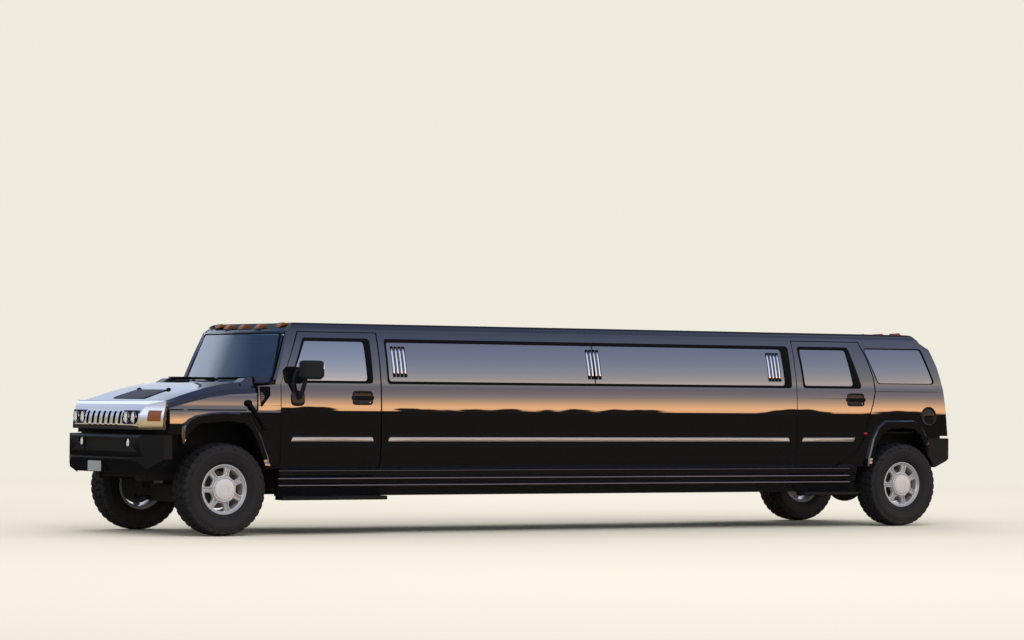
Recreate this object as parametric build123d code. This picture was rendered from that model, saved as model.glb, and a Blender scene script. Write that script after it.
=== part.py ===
from build123d import *
import os

# Stretch limousine built on a tall, square, body-on-frame utility vehicle. Millimetres.
# +X points forward, +Y to the vehicle's left, +Z up; the origin is on the ground, under the
# middle of the overall length. Lengths "aft" are measured backwards from the front axle.

# Driving sizes
wheelbase = 8200
front_overhang = 810
rear_overhang = 720
track = 1763
tyre_od = 889
tyre_width = 300
body_half = 1000
floor_z = 670
belt_z = 1440
gutter_z = 1968
roof_crown = 90

# Running clearances
seat_gap = 0.3
glass_gap = 0.3
bearing_gap = 0.5
panel_gap = 8
swing_gap = 14
hood_gap = 10

# Tyres and rims
tyre_shoulder = 34
tread_edge = 40
tread_drop = 16
sidewall_low = 115
sidewall_high = 60
bead_rise = 8
rim_width = 232
rim_lip_r = 242
rim_bead_r = 222
rim_wall = 10
rim_flange = 10
rim_dish = 14
spoke_count = 7
spoke_width = 46
spoke_depth = 30
spoke_drop = 4
groove_depth = 14
cap_r = 124
cap_edge = 20
cap_height = 26
cap_dome = 6
hub_r = 98
hub_depth = 30
hub_bore_r = 42
hub_bore_inset = 12

# Body side: how far each line stands inside the widest one, and wall thicknesses
foot_tuck = 45
turn_tuck = 8
belt_tuck = 15
glass_tuck = 28
gutter_tuck = 130
lower_wall = 70
upper_wall = 45
lip_thickness = 14
lip_height = 50

# Roof
roof_edge_tuck = 25
roof_edge_rise = 47
roof_knee_tuck = 170
roof_knee_rise = 77
roof_wall = 45
roof_front_aft = 745
front_bow = 90
roof_header = 95
header_rise = 20
nose_rise = 74
tail_rise = 50

# Doors and windows, aft of the front axle
front_door_front = 610
front_door_rear = 1715
pillar_foot_aft = 612
pillar_top_aft = 848
rear_door_ahead = 1403
window_radius = 28
glass_thickness = 6
glass_inset = 8
handle_length = 215
handle_stand = 24
handle_height = 32
mirror_stand = 85
mirror_width = 140
arm_stand = 45

# Windshield and cowl
screen_foot_aft = 566
screen_head_aft = 742
screen_half = 960
cowl_aft = 436
cowl_wall = 40
cowl_depth = 24
ear_inner = 750
ear_outer = 925
ear_top = 885
ear_rise = 42
ear_start = 215
ear_end_ahead = 41

# Floor, sills and frame
floor_thickness = 40
floor_flange = 20
floor_flange_depth = 70
floor_end_behind = 500
floor_tuck = 130
sill_tuck = 15
sill_foot_z = 375
sill_foot_tuck = 95
rail_inner = 400
rail_width = 80
rail_height = 150
rail_front_aft = -640
rail_end_behind = 500
crossmember_height = 100
crossmember_length = 90
crossmember_drop = 20
step_stand = 40
step_width = 160
step_thickness = 38
housing_reach = 470
housing_side_gap = 40
housing_top_z = 1010
housing_wall = 20

# Front end
fascia_front_aft = -800
fascia_back_aft = -606
fascia_foot_z = 1010
fascia_top_z = 1284
fascia_tuck = 42
fascia_corner_aft = -640
fascia_bend_aft = -775
fascia_bend_tuck = 280
fascia_flat_tuck = 400
fascia_lean = 34
fascia_wall = 22
support_thickness = 50
support_top_z = 1190
support_tuck = 120
slot_count = 7
slot_pitch = 116
slot_width = 50
slot_foot_z = 1060
slot_head_z = 1186
lamp_z = 1126
lamp_y = (474, 628)
lamp_r = 58
lamp_opening = (398, 704)
lamp_opening_half = 66
marker_share = (0.34, 0.9)
marker_z = (1090, 1192)
marker_depth = 34
hood_front_aft = -590
hood_rear_aft = 350
hood_wall = 25
hood_foot_z = 1206
hood_round = 48
hood_tuck = 10
shoulder_step = 30
crease_step = 130
plateau_step = 420

# Bumpers
bumper_top_z = 960
bumper_foot_z = 490
bumper_foot_half = 600  # the lower corners are cut away from here up to the lip's height
bumper_corner_z = 735
bumper_stand = 10
bumper_wall = 72
bumper_back_aft = -562
fog_y = 504
fog_z = 886
fog_r = 48
recess_half = 440
recess_depth = 14
plate_aft = -798
plate_y = -171
plate_z = 651
plate_half = 152
plate_height = 106
plate_bolt_pitch = 178
plate_bolt_r = 3.5
plate_bolt_depth = 20
rear_plate_z = 850

# Tail
tail_post_tuck = 240
gate_wall = 60
gate_gap = 8
tail_lens_z = (1120, 1420)

# Wheel arches
flare_stand = 30
flare_chamfer = 12
arch_depth = 65

# Power train, axles and tanks
engine_length = 820
engine_half = 330
engine_foot_z = 560
engine_height = 560
engine_gap = 30
gearbox_end_aft = 1350
gearbox_half = 170
shaft_rise = 55
shaft_r = 40
diff_ahead = 240
diff_r = 205
axle_tube_r = 45
hub_face = -4
kingpin_inset = 80
kingpin_r = 20
lower_arm_drop = 134
upper_arm_rise = 122
lower_arm_thickness = 36
upper_arm_thickness = 28
half_shaft_r = 22
exhaust_r = 36
exhaust_y = -600
exhaust_z = 468
tank_ahead = 2750
tank_length = 1000
tank_foot_z = 420

# Cabin
driver_y = 420
seat_z = 1090
seat_half = 260
couch_start = 2200
wheel_rim_r = 185
wheel_rim_thickness = 15

overall_length = front_overhang + wheelbase + rear_overhang
front_axle_x = overall_length / 2 - front_overhang
rear_end = wheelbase + rear_overhang
hub_z = tyre_od / 2
wheel_y = track / 2
kingpin_y = wheel_y - kingpin_inset
floor_top = floor_z + floor_thickness
floor_half = body_half - floor_tuck
rail_outer = rail_inner + rail_width
rail_foot = floor_z - rail_height
rail_rear_aft = wheelbase + rail_end_behind
sill_top = floor_z - 30
sill_half = body_half - sill_tuck
full_z = sill_top + 290
waist_z = belt_z - 240
belt_half = body_half - belt_tuck
gutter_half = body_half - gutter_tuck
door_foot_z = sill_top + panel_gap
door_head_z = gutter_z - panel_gap
glass_foot_z = belt_z + 40
pillar_foot_z = belt_z + 20
window_foot_z = belt_z + 46
window_head_z = gutter_z - 68
quarter_foot_z = belt_z + 85
screen_foot_z = belt_z + 42
screen_head_z = gutter_z - 2
rear_door_front = wheelbase - rear_door_ahead
roof_rear_aft = wheelbase + 328
support_aft = fascia_back_aft
tail_post_half = body_half - tail_post_tuck
gate_half = tail_post_half - gate_gap
flare_half = body_half + flare_stand
step_half = body_half + step_stand
shaft_z = hub_z + shaft_rise
rear_diff_aft = wheelbase - diff_ahead
housing_inner = wheel_y - tyre_width / 2 - housing_side_gap
shell_half = body_half + 200
far_in = body_half / 2
far_up = gutter_z + 400


def x_at(aft):
    return front_axle_x - aft


def behind(points):
    """Outline given from the rear axle, carried to stations aft of the front one."""
    return tuple((wheelbase + a, z) for a, z in points)


def shifted(points, along, up=0):
    return [(a + along, z + up) for a, z in points]


def block(aft0, aft1, y0, y1, z0, z1):
    size = (abs(aft1 - aft0), abs(y1 - y0), abs(z1 - z0))
    return Pos(x_at((aft0 + aft1) / 2), (y0 + y1) / 2, (z0 + z1) / 2) * Box(*size)


def outline(points, radius=0):
    if radius:
        return FilletPolyline(*points, radius=radius, close=True)
    return Polyline(*points, close=True)


def side_prism(points, y0, y1, radius=0):
    """Outline of (aft, z) points carried across the car from y0 to y1."""
    line = outline([(x_at(a), 0, z) for a, z in points], radius)
    face = Face(Wire(line.edges()))
    return Solid.extrude(face, Vector(0, y1 - y0, 0)).moved(Location((0, y0, 0)))


def cross_prism(points, aft0, aft1, radius=0):
    """Outline of (y, z) points carried along the car between two stations."""
    line = outline([(0, y, z) for y, z in points], radius)
    face = Face(Wire(line.edges()))
    return Solid.extrude(face, Vector(aft0 - aft1, 0, 0)).moved(Location((x_at(aft0), 0, 0)))


def plan_prism(points, z0, z1, radius=0):
    """Outline of (aft, y) points carried up from z0 to z1."""
    line = outline([(x_at(a), y, 0) for a, y in points], radius)
    face = Face(Wire(line.edges()))
    return Solid.extrude(face, Vector(0, 0, z1 - z0)).moved(Location((0, 0, z0)))


def rod(start, end, r):
    """Round bar between two (aft, y, z) points."""
    a = Vector(x_at(start[0]), start[1], start[2])
    b = Vector(x_at(end[0]), end[1], end[2])
    align = (Align.CENTER, Align.CENTER, Align.MIN)
    return Plane(a, z_dir=b - a) * Cylinder(r, (b - a).length, align=align)


def pipe(points, r):
    body = rod(points[0], points[1], r)
    for start, end in zip(points[1:], points[2:]):
        body += Pos(x_at(start[0]), start[1], start[2]) * Sphere(r) + rod(start, end, r)
    return body


def turned(points):
    """Closed outline of (radius, y) points revolved about the Y axis."""
    face = Face(Wire(Polyline(*[(r, y, 0) for r, y in points], close=True).edges()))
    return revolve(face, Axis.Y, 360)


def mirrored(shape):
    return shape.mirror(Plane.XZ)


def both(shape):
    return Compound([*shape.solids(), *mirrored(shape).solids()])


def gathered(*shapes):
    return Compound([s for shape in shapes for s in shape.solids()])


def write(name, shape):
    solids = shape.solids()
    export_step(solids[0] if len(solids) == 1 else Compound(solids), f"parts/{name}.step")


# Body side section, from the foot up: half width, height, wall
side_section = (
    (body_half - foot_tuck, sill_top, lower_wall),
    (body_half - turn_tuck, sill_top + 80, lower_wall),
    (body_half, full_z, lower_wall),
    (body_half, waist_z, lower_wall),
    (belt_half, belt_z, lower_wall),
    (body_half - glass_tuck, glass_foot_z, lower_wall - 5),
    (gutter_half, gutter_z, upper_wall),
)


def side_band(aft0, aft1, outset=0, wall=None):
    """The left body side between two stations; outset moves its outer face, wall its depth."""
    outer = [(y + outset, z) for y, z, w in side_section]
    inner = [(y + outset - (w if wall is None else wall), z) for y, z, w in side_section]
    return cross_prism(outer + inner[::-1], aft0, aft1)


def side_inner(z):
    """Half width of the cabin at a height, from the side section."""
    for (y0, z0, w0), (y1, z1, w1) in zip(side_section, side_section[1:]):
        if z <= z1:
            return y0 - w0 + (y1 - w1 - y0 + w0) * (z - z0) / (z1 - z0)
    return gutter_half - upper_wall


def seal_lip(aft0, aft1):
    """Upright flange just inside a closed door, which carries its seal."""
    lip = side_band(aft0, aft1, -lower_wall - seat_gap, lip_thickness)
    return lip & block(aft0, aft1, far_in, shell_half, sill_top, sill_top + lip_height)


def inset(points, gap):
    """Moves each point of a convex outline towards its middle by the gap, along both axes."""
    mid_a = sum(a for a, z in points) / len(points)
    mid_z = sum(z for a, z in points) / len(points)
    return [(a + gap * (1 if a < mid_a else -1), z + gap * (1 if z < mid_z else -1)) for a, z in points]


def glass_pane(window):
    """Pane lying in the greenhouse side, inside a window outline of (aft, z) points."""
    stations = [a for a, z in window]
    band = side_band(min(stations) - 10, max(stations) + 10, -glass_inset, glass_thickness)
    return band & side_prism(inset(window, glass_gap), far_in, shell_half, window_radius)


def opening(window):
    return side_prism(window, far_in, shell_half, window_radius)


# Window outlines, aft and height
front_window = (
    (905, window_head_z), (front_door_rear - 115, window_head_z),
    (front_door_rear - 115, window_foot_z), (715, window_foot_z),
)
mid_window = (
    (front_door_rear + 97, window_head_z), (rear_door_front - 97, window_head_z),
    (rear_door_front - 97, window_foot_z), (front_door_rear + 97, window_foot_z),
)
rear_window = behind(((-1338, window_head_z), (-700, window_head_z), (-560, window_foot_z),
                      (-1308, window_foot_z)))
quarter_window = behind(((-465, window_head_z), (320, window_head_z), (455, quarter_foot_z),
                         (-315, quarter_foot_z)))

# Door outlines, aft and height
front_door = (
    (front_door_front, door_foot_z), (front_door_rear, door_foot_z),
    (front_door_rear, door_head_z), (pillar_top_aft, door_head_z),
    (pillar_foot_aft - 2, pillar_foot_z),
)
rear_edge = behind((
    (-518, door_head_z), (-440, gutter_z - 185), (-378, belt_z + 130), (-368, belt_z - 10),
    (-407, belt_z - 150), (-460, belt_z - 290), (-528, sill_top + 288), (-616, sill_top + 161),
    (-776, sill_top + 54), (-870, door_foot_z),
))
rear_door = ((rear_door_front, door_foot_z), (rear_door_front, door_head_z), *rear_edge)

# Wheel arches: the opening, and the outer line of the flare round it
front_arch = ((-492, 400), (-462, 860), (-392, 985), (-292, 1070), (0, 1096), (205, 1078),
              (282, 1010), (352, 860), (420, 690), (500, 400))
front_flare = ((-470, 500), (-448, 1040), (-389, 1111), (-315, 1149), (-177, 1173), (-17, 1184),
               (144, 1175), (263, 1150), (385, 942), (474, 712), (560, 500))
rear_arch = behind(((-486, 400), (-425, 700), (-376, 860), (-290, 985), (-205, 1038), (0, 1050),
                    (150, 1040), (232, 985), (300, 860), (350, 700), (400, 400)))
rear_flare = behind(((-510, 400), (-470, 720), (-411, 929), (-338, 1062), (-240, 1128),
                     (140, 1132), (250, 1070), (318, 960), (370, 860), (430, 600)))
tail_line = behind(((300, gutter_z + 17), (440, gutter_z - 68), (512, (belt_z + gutter_z) / 2 + 5),
                    (568, belt_z + 31), (597, belt_z - 186), (626, bumper_top_z + 5)))

hood_rows = (  # station aft, shoulder height, crease height, middle height
    (hood_front_aft, 1262, 1280, 1284),
    (-366, 1320, 1350, 1358),
    (-154, 1368, 1410, 1420),
    (60, 1396, 1452, 1462),
    (hood_rear_aft, 1412, 1476, 1486),
)


def hood_loft(shrink):
    """Ruled loft of the hood's sections: upright side, facet up to a crease, flat top. The
    shrunk one is longer below and behind, and makes the hollow."""
    sections = []
    for aft, shoulder_z, crease_z, middle_z in hood_rows:
        half = body_half - hood_tuck - shrink
        foot_z = hood_foot_z - (2 * hood_wall if shrink else 0)
        right = [
            (half, foot_z),
            (half, shoulder_z - hood_round - shrink),
            (half - shoulder_step, shoulder_z - shrink),
            (half - crease_step, crease_z - shrink),
            (half - plateau_step, middle_z - shrink),
        ]
        points = right + [(-y, z) for y, z in right[::-1]]
        station = aft
        if shrink and aft == hood_front_aft:
            station = aft + hood_wall
        if shrink and aft == hood_rear_aft:
            station = aft + hood_wall
        x = x_at(station)
        wire = Wire(Polyline(*[(x, y, z) for y, z in points], close=True).edges())
        sections.append(wire)
    return Solid.make_loft(sections, ruled=True)


def make_hood():
    """Clamshell: top and upper wing sides in one shell, hinged along its front edge."""
    shell = hood_loft(0) - hood_loft(hood_wall)
    skin_z = hood_rows[-1][2]
    top_z = screen_foot_z + ear_rise - 8
    low = skin_z - hood_wall + 4
    section = ((ear_inner, low), (ear_inner, top_z), (ear_top, top_z), (ear_outer, low - 30),
               (ear_top - 25, low))
    slope = ((ear_start, low - 60), (ear_start, skin_z - 8), (ear_start + 60, top_z - 10),
             (hood_rear_aft, top_z), (hood_rear_aft, low - 60))
    ear = cross_prism(section, ear_start, hood_rear_aft) & side_prism(slope, far_in, shell_half)
    return shell + ear + mirrored(ear)


def make_flare(line, low_z, aft0, aft1):
    """Raised band round an arch, its outer edge chamfered."""
    band = side_prism(line, body_half - arch_depth, flare_half)
    rim = band.faces().sort_by(Axis.Y)[-1].edges()
    band = chamfer(rim, flare_chamfer)
    return band & block(aft0, aft1, far_in, shell_half, low_z, hood_foot_z - hood_gap)


def make_front_fenders():
    """Wing skirt under the hood, its arch flare, and the cheek ahead of the front door."""
    front = hood_front_aft + 5
    rear = front_door_front - panel_gap
    hood_line = hood_foot_z - hood_gap
    hood_end = hood_rear_aft + hood_gap
    side = ((front, 400), (rear, 400), (rear, pillar_foot_z - 6), (hood_end, belt_z - 6),
            (hood_end, hood_line), (front, hood_line))
    skirt = side_band(front, rear) & side_prism(side, far_in, shell_half)
    flare = make_flare(front_flare, sill_top, front, rear)
    shape = skirt + flare - side_prism(front_arch, far_in, shell_half, 50)
    shape -= block(front - 100, front_flare[0][0] + 10, far_in, shell_half, 0, bumper_top_z + panel_gap)
    for aft in (front + 155, hood_rear_aft - 110):
        shape += block(aft, aft + 40, belt_half - 20, belt_half - 2, hood_line - 1,
                       hood_foot_z - seat_gap)
    return both(shape)


def make_quarter_panels():
    """Rear quarter: side wall, arch flare and the corner post that carries the tail lamp."""
    edge = shifted(rear_edge, swing_gap)
    edge[0] = (edge[0][0] - 4, gutter_z)
    end = (wheelbase + 340, bumper_top_z + 5)
    side = ((edge[-1][0], sill_top), *edge[:-1][::-1], (tail_line[0][0], gutter_z), *tail_line[1:],
            end, (end[0], sill_top))
    skin = side_prism(side, far_in, shell_half)
    reach = (edge[-1][0] - 50, rear_end - 60)
    wall = side_band(*reach) & skin
    post_line = [*tail_line, *shifted(tail_line[::-1], -gate_wall - 10)]
    within = [(y - 8, z) for y, z, w in side_section[1:]]
    corner = side_prism(post_line, tail_post_half, body_half - 100)
    corner &= cross_prism([(0, sill_top), *within, (0, gutter_z)], reach[0], reach[1])
    flare = make_flare(rear_flare, sill_top, *reach) & skin
    lip_line = [*shifted(tail_line, -gate_wall - seat_gap), *shifted(tail_line[::-1], -gate_wall - 16)]
    lip = side_prism(lip_line, gate_half - 50, tail_post_half + 10)
    lip &= block(*reach, far_in, shell_half, bumper_top_z + 40, gutter_z - 118)
    shape = wall + corner + lip + flare - side_prism(rear_arch, far_in, shell_half, 50)
    return both(shape - opening(quarter_window))


def make_mid_sides():
    """The long side between the doors, one window wide, standing on the sill."""
    wall = side_band(front_door_rear + swing_gap, rear_door_front - panel_gap)
    return both(wall - opening(mid_window))


def make_door(line, window, handle_aft, handle_z):
    stations = [a for a, z in line]
    shape = side_band(min(stations) - 10, max(stations) + 10) & side_prism(line, far_in, shell_half)
    shape -= opening(window)
    return shape + block(handle_aft - handle_length / 2, handle_aft + handle_length / 2,
                         body_half - 20, body_half + handle_stand,
                         handle_z - handle_height / 2, handle_z + handle_height / 2)


def make_mirror():
    """Outer mirror on its arm, standing on the front door's belt corner."""
    inner = body_half + mirror_stand
    outer = inner + mirror_width
    low = belt_z + 71
    face = ((691, low + 9), (712, low + 172), (948, low + 172), (956, low))
    head = side_prism(face, inner, outer, 25)
    head &= plan_prism(((680, inner), (740, outer), (960, outer), (960, inner)), low - 100, low + 300)
    foot = block(715, 865, belt_half - 4 + seat_gap, belt_half + 35, belt_z - 190, belt_z - 55)
    bar = block(760, 830, belt_half + 8, body_half + arm_stand + 15, belt_z - 140, belt_z - 70)
    post = side_prism(((760, belt_z - 140), (830, belt_z - 140), (860, low + 29), (790, low + 29)),
                      body_half + arm_stand, inner + 15)
    return foot + bar + post + head - side_band(600, 1000, seat_gap)


def make_roof():
    """Shallow crowned lid with solid headers at the front and rear."""
    front = roof_front_aft - front_bow
    edge = (gutter_half - roof_edge_tuck, gutter_z + roof_edge_rise)
    knee = (gutter_half - roof_knee_tuck, gutter_z + roof_knee_rise)
    crown = (0, gutter_z + roof_crown)
    right = [(gutter_half, gutter_z), edge, knee]
    lid = cross_prism([*right, crown, *[(-y, z) for y, z in right[::-1]]], front, roof_rear_aft)
    low = gutter_z - 60
    high = gutter_z + roof_crown + 12
    profile = ((front - 10, low), (front, gutter_z + header_rise), (front + 245, gutter_z + nose_rise),
               (front + 495, high), (roof_rear_aft - 198, high), (roof_rear_aft - 58, gutter_z + tail_rise),
               (roof_rear_aft, gutter_z), (roof_rear_aft, low))
    under = [(gutter_half - upper_wall, gutter_z - 1), (edge[0] - roof_wall, edge[1] - roof_wall),
             (knee[0], knee[1] - roof_wall)]
    hollow = cross_prism([*under, (0, crown[1] - roof_wall), *[(-y, z) for y, z in under[::-1]]],
                         roof_front_aft + roof_header, roof_rear_aft - roof_header)
    return (lid & side_prism(profile, -body_half, body_half) & bow_edge()) - hollow


def bow_edge():
    """Everything behind the bowed front line of the roof, as a tall block."""
    corner = x_at(roof_front_aft)
    tail = x_at(rear_end)
    bow = ThreePointArc((corner, -gutter_half, 0), (corner + front_bow, 0, 0), (corner, gutter_half, 0))
    rest = Polyline((corner, gutter_half, 0), (corner, body_half, 0), (tail, body_half, 0),
                    (tail, -body_half, 0), (corner, -body_half, 0), (corner, -gutter_half, 0))
    face = Face(Wire(bow.edges() + rest.edges()))
    return Solid.extrude(face, Vector(0, 0, 600)).moved(Location((0, 0, gutter_z - 300)))


def bowed_sheet(depth):
    """The windshield's sheet: bowed in plan, leaned back from its foot to its head."""
    arcs = []
    for back in (0, depth):
        x = x_at(screen_foot_aft + back)
        arcs.append(ThreePointArc((x, -screen_half, screen_foot_z), (x + front_bow, 0, screen_foot_z),
                                  (x, screen_half, screen_foot_z)))
    ends = [Line(arcs[0] @ 1, arcs[1] @ 1), Line(arcs[1] @ 0, arcs[0] @ 0)]
    face = Face(Wire([arcs[0].edge(), ends[0].edge(), arcs[1].edge(), ends[1].edge()]))
    return Solid.extrude(face, Vector(screen_foot_aft - screen_head_aft, 0, screen_head_z - screen_foot_z))


def make_windshield():
    right = [(side_inner(z) - glass_gap, z) for z in (screen_foot_z, screen_head_z)]
    front = cross_prism(right + [(-y, z) for y, z in right[::-1]], screen_foot_aft - 200, screen_head_aft + 200)
    return bowed_sheet(glass_thickness) & front


def make_cowl():
    """Firewall, cowl top with its two raised corners, and the windshield pillars."""
    top_z = screen_foot_z - glass_gap
    half = body_half - support_tuck
    wall = block(cowl_aft, cowl_aft + cowl_wall, -half, half, floor_top, top_z - cowl_depth)
    start = hood_rear_aft + hood_gap
    top = block(start, screen_foot_aft + 12, -half - 8, half + 8, top_z - cowl_depth, top_z)
    foot_z = pillar_foot_z - 6
    tab = block(screen_foot_aft - 60, pillar_foot_aft - 10, half, half + 60, foot_z, top_z)
    pillar = side_band(screen_foot_aft - 100, pillar_top_aft + 100) & side_prism(
        ((screen_foot_aft - 22, foot_z), (pillar_foot_aft - 10, foot_z), (pillar_top_aft - 10, gutter_z),
         (screen_head_aft - 10, gutter_z)), far_in, shell_half)
    ear_z = screen_foot_z + ear_rise
    ear = cross_prism(((ear_inner, top_z - 10), (ear_inner, ear_z), (ear_top, ear_z), (ear_outer, top_z - 10)),
                      start, screen_foot_aft - ear_end_ahead)
    return wall + top + both(pillar + tab) + ear + mirrored(ear)


def make_tailgate():
    """Upright rear gate, hung at its top edge."""
    skin = side_prism([*tail_line, *shifted(tail_line[::-1], -gate_wall)], -gate_half, gate_half)
    skin &= block(wheelbase + 100, rear_end, -gate_half, gate_half, bumper_top_z + 12, door_head_z)
    return skin - gate_window(0)


def gate_window(gap):
    foot = (gate_half - 110 - gap, belt_z + 60 + gap)
    head = (gate_half - 150 - gap, window_head_z - 5 - gap)
    points = [(-foot[0], foot[1]), foot, head, (-head[0], head[1])]
    return cross_prism(points, wheelbase + 100, rear_end, 30)


def make_tailgate_glass():
    outer = shifted(tail_line, -glass_inset)
    inner = shifted(tail_line[::-1], -glass_inset - glass_thickness)
    return side_prism([*outer, *inner], -body_half, body_half) & gate_window(glass_gap)


def make_floor():
    """Flat cabin floor with turned-down edges, notched at the wheels."""
    plate = block(cowl_aft, wheelbase + floor_end_behind, -floor_half, floor_half, floor_z, floor_top)
    front_notch = front_door_front + 10
    flange_z = floor_z - floor_flange_depth
    for side in (1, -1):
        edge = (side * (floor_half - floor_flange), side * floor_half)
        plate += block(front_notch, wheelbase - 550, *edge, flange_z, floor_z)
        outer = side * (floor_half + 30)
        plate -= block(wheelbase - housing_reach, wheelbase + housing_reach, side * housing_inner, outer,
                       flange_z, housing_top_z)
        plate -= block(cowl_aft - 40, front_notch, side * (rail_outer + 40), outer, flange_z, housing_top_z)
    return plate


def make_wheel_housings():
    """Inner arches: a box over each rear wheel, and a wall and lid over each front wheel."""
    t = housing_wall
    outer = body_half - lower_wall - 5
    start = wheelbase - housing_reach
    end = wheelbase + housing_reach
    rear = block(start, end, housing_inner, outer, floor_z, housing_top_z)
    rear -= block(start + t, end - t, housing_inner + t, outer + 1, floor_z - 70, housing_top_z - t)
    rear -= side_band(start - 100, end + 100, 0, lower_wall + seat_gap)
    first = support_aft + support_thickness
    top = hood_foot_z - 30
    wall = block(first, cowl_aft, rail_outer + 2, rail_outer + 2 + t, floor_z - 50, top)
    lid = block(first, cowl_aft, rail_outer + 2, outer, top - t, top)
    return both(gathered(rear, wall + lid))


def make_sills():
    """Rocker between the wheels, with seal lips in the door openings."""
    inner = floor_half
    points = ((inner, sill_top), (sill_half, sill_top), (sill_half, sill_top - 65), (sill_half - 20, sill_top - 84),
              (sill_half - 20, sill_top - 140), (sill_half - 37, sill_top - 154),
              (body_half - sill_foot_tuck, sill_foot_z), (inner, sill_foot_z))
    shape = cross_prism(points, front_door_front - 4, wheelbase - 600)
    shape += seal_lip(front_door_front + 60, front_door_rear - 60)
    shape += seal_lip(rear_door_front + 60, wheelbase - 920)
    return both(shape)


def make_frame():
    return both(block(rail_front_aft, rail_rear_aft, rail_inner, rail_outer, rail_foot, floor_z))


def crossmember_places():
    first = 700
    last = wheelbase - 900
    steps = 6
    between = [first + (last - first) * i / steps for i in range(steps + 1)]
    return [rail_front_aft + 80, *between, rail_rear_aft - 60]


def make_crossmembers():
    foot = floor_z - crossmember_drop - crossmember_height
    half = crossmember_length / 2
    return gathered(*[block(a - half, a + half, -rail_inner, rail_inner, foot, foot + crossmember_height)
                      for a in crossmember_places()])


def make_steps():
    """Running boards under the sills, below each door."""
    spans = ((front_door_front + 2, front_door_rear + 62), (rear_door_front + 73, wheelbase - 612))
    return both(gathered(*[block(a0, a1, step_half - step_width, step_half, sill_foot_z - step_thickness,
                                 sill_foot_z) for a0, a1 in spans]))


def make_support():
    """Upright panel behind the grille that carries the lamps, fascia and radiator."""
    half = body_half - support_tuck
    return block(support_aft, support_aft + support_thickness, -half, half, floor_z, support_top_z)


def fascia_plan(t):
    """Plan outline of the fascia, drawn in by t."""
    half = body_half - fascia_tuck - t
    bend = body_half - fascia_bend_tuck
    flat = body_half - fascia_flat_tuck
    right = [(fascia_back_aft, half), (fascia_corner_aft + t / 2, half), (fascia_bend_aft + t, bend),
             (fascia_front_aft + t, flat)]
    return right + [(a, -y) for a, y in right[::-1]]


def fascia_solid(t):
    front = fascia_front_aft + t
    back = fascia_back_aft + 20
    profile = ((back, fascia_foot_z + t), (front + 10, fascia_foot_z + t), (front, fascia_foot_z + 40),
               (front + fascia_lean, slot_head_z + 6 - t / 2), (front + fascia_lean + 24, fascia_top_z - 34 - t),
               (fascia_back_aft - 6, fascia_top_z - t), (back, fascia_top_z - t))
    cap = side_prism(profile, -body_half, body_half)
    return cap & plan_prism(fascia_plan(t), fascia_foot_z - 100, fascia_top_z + 100)


def marker_block(gap):
    """Corner marker lens, lying in the slanted end of the fascia."""
    plan = fascia_plan(0)
    (a1, y1), (a0, y0) = plan[1], plan[2]
    line = [(a0 + (a1 - a0) * t, y0 + (y1 - y0) * t) for t in marker_share]
    front = [(a - 2, y + 1) for a, y in line]
    back = [(a + marker_depth, y - 20) for a, y in line[::-1]]
    return plan_prism(front + back, marker_z[0] - gap, marker_z[1] + gap)


def make_grille():
    """Bright one-piece fascia with seven upright slots and two lamp openings."""
    back_window = block(fascia_back_aft - 60, fascia_back_aft + 30, -body_half + 100, body_half - 100,
                        fascia_foot_z + fascia_wall, fascia_top_z - 59)
    shape = fascia_solid(0) - fascia_solid(fascia_wall) - back_window
    reach = (fascia_front_aft - 100, fascia_front_aft + 100)
    half = slot_width / 2
    for i in range(slot_count):
        y = (i - (slot_count - 1) / 2) * slot_pitch
        slot = ((y - half, slot_foot_z), (y + half, slot_foot_z), (y + half, slot_head_z), (y - half, slot_head_z))
        shape -= cross_prism(slot, *reach, half - 4)
    low = lamp_z - lamp_opening_half
    high = lamp_z + lamp_opening_half
    inner, outer = lamp_opening
    lamp = cross_prism(((inner, low), (outer, low), (outer, high), (inner, high)), *reach, 55)
    return shape - lamp - mirrored(lamp) - both(marker_block(seat_gap))


def make_headlamps():
    """Two round lamps a side on one housing, and the fog lamps set in the bumper."""
    back = fascia_front_aft + 66
    inner, outer = lamp_opening
    case = block(back, support_aft, inner + 16, outer - 12, lamp_z - 60, lamp_z + 60)
    for y in lamp_y:
        case += rod((back, y, lamp_z), (fascia_front_aft + 22, y, lamp_z), lamp_r)
    fog = rod((fog_face(), fog_y, fog_z), (fog_face() + 36, fog_y, fog_z), fog_r)
    return both(gathered(case, fog))


def fog_face():
    return 34 - front_overhang


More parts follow.
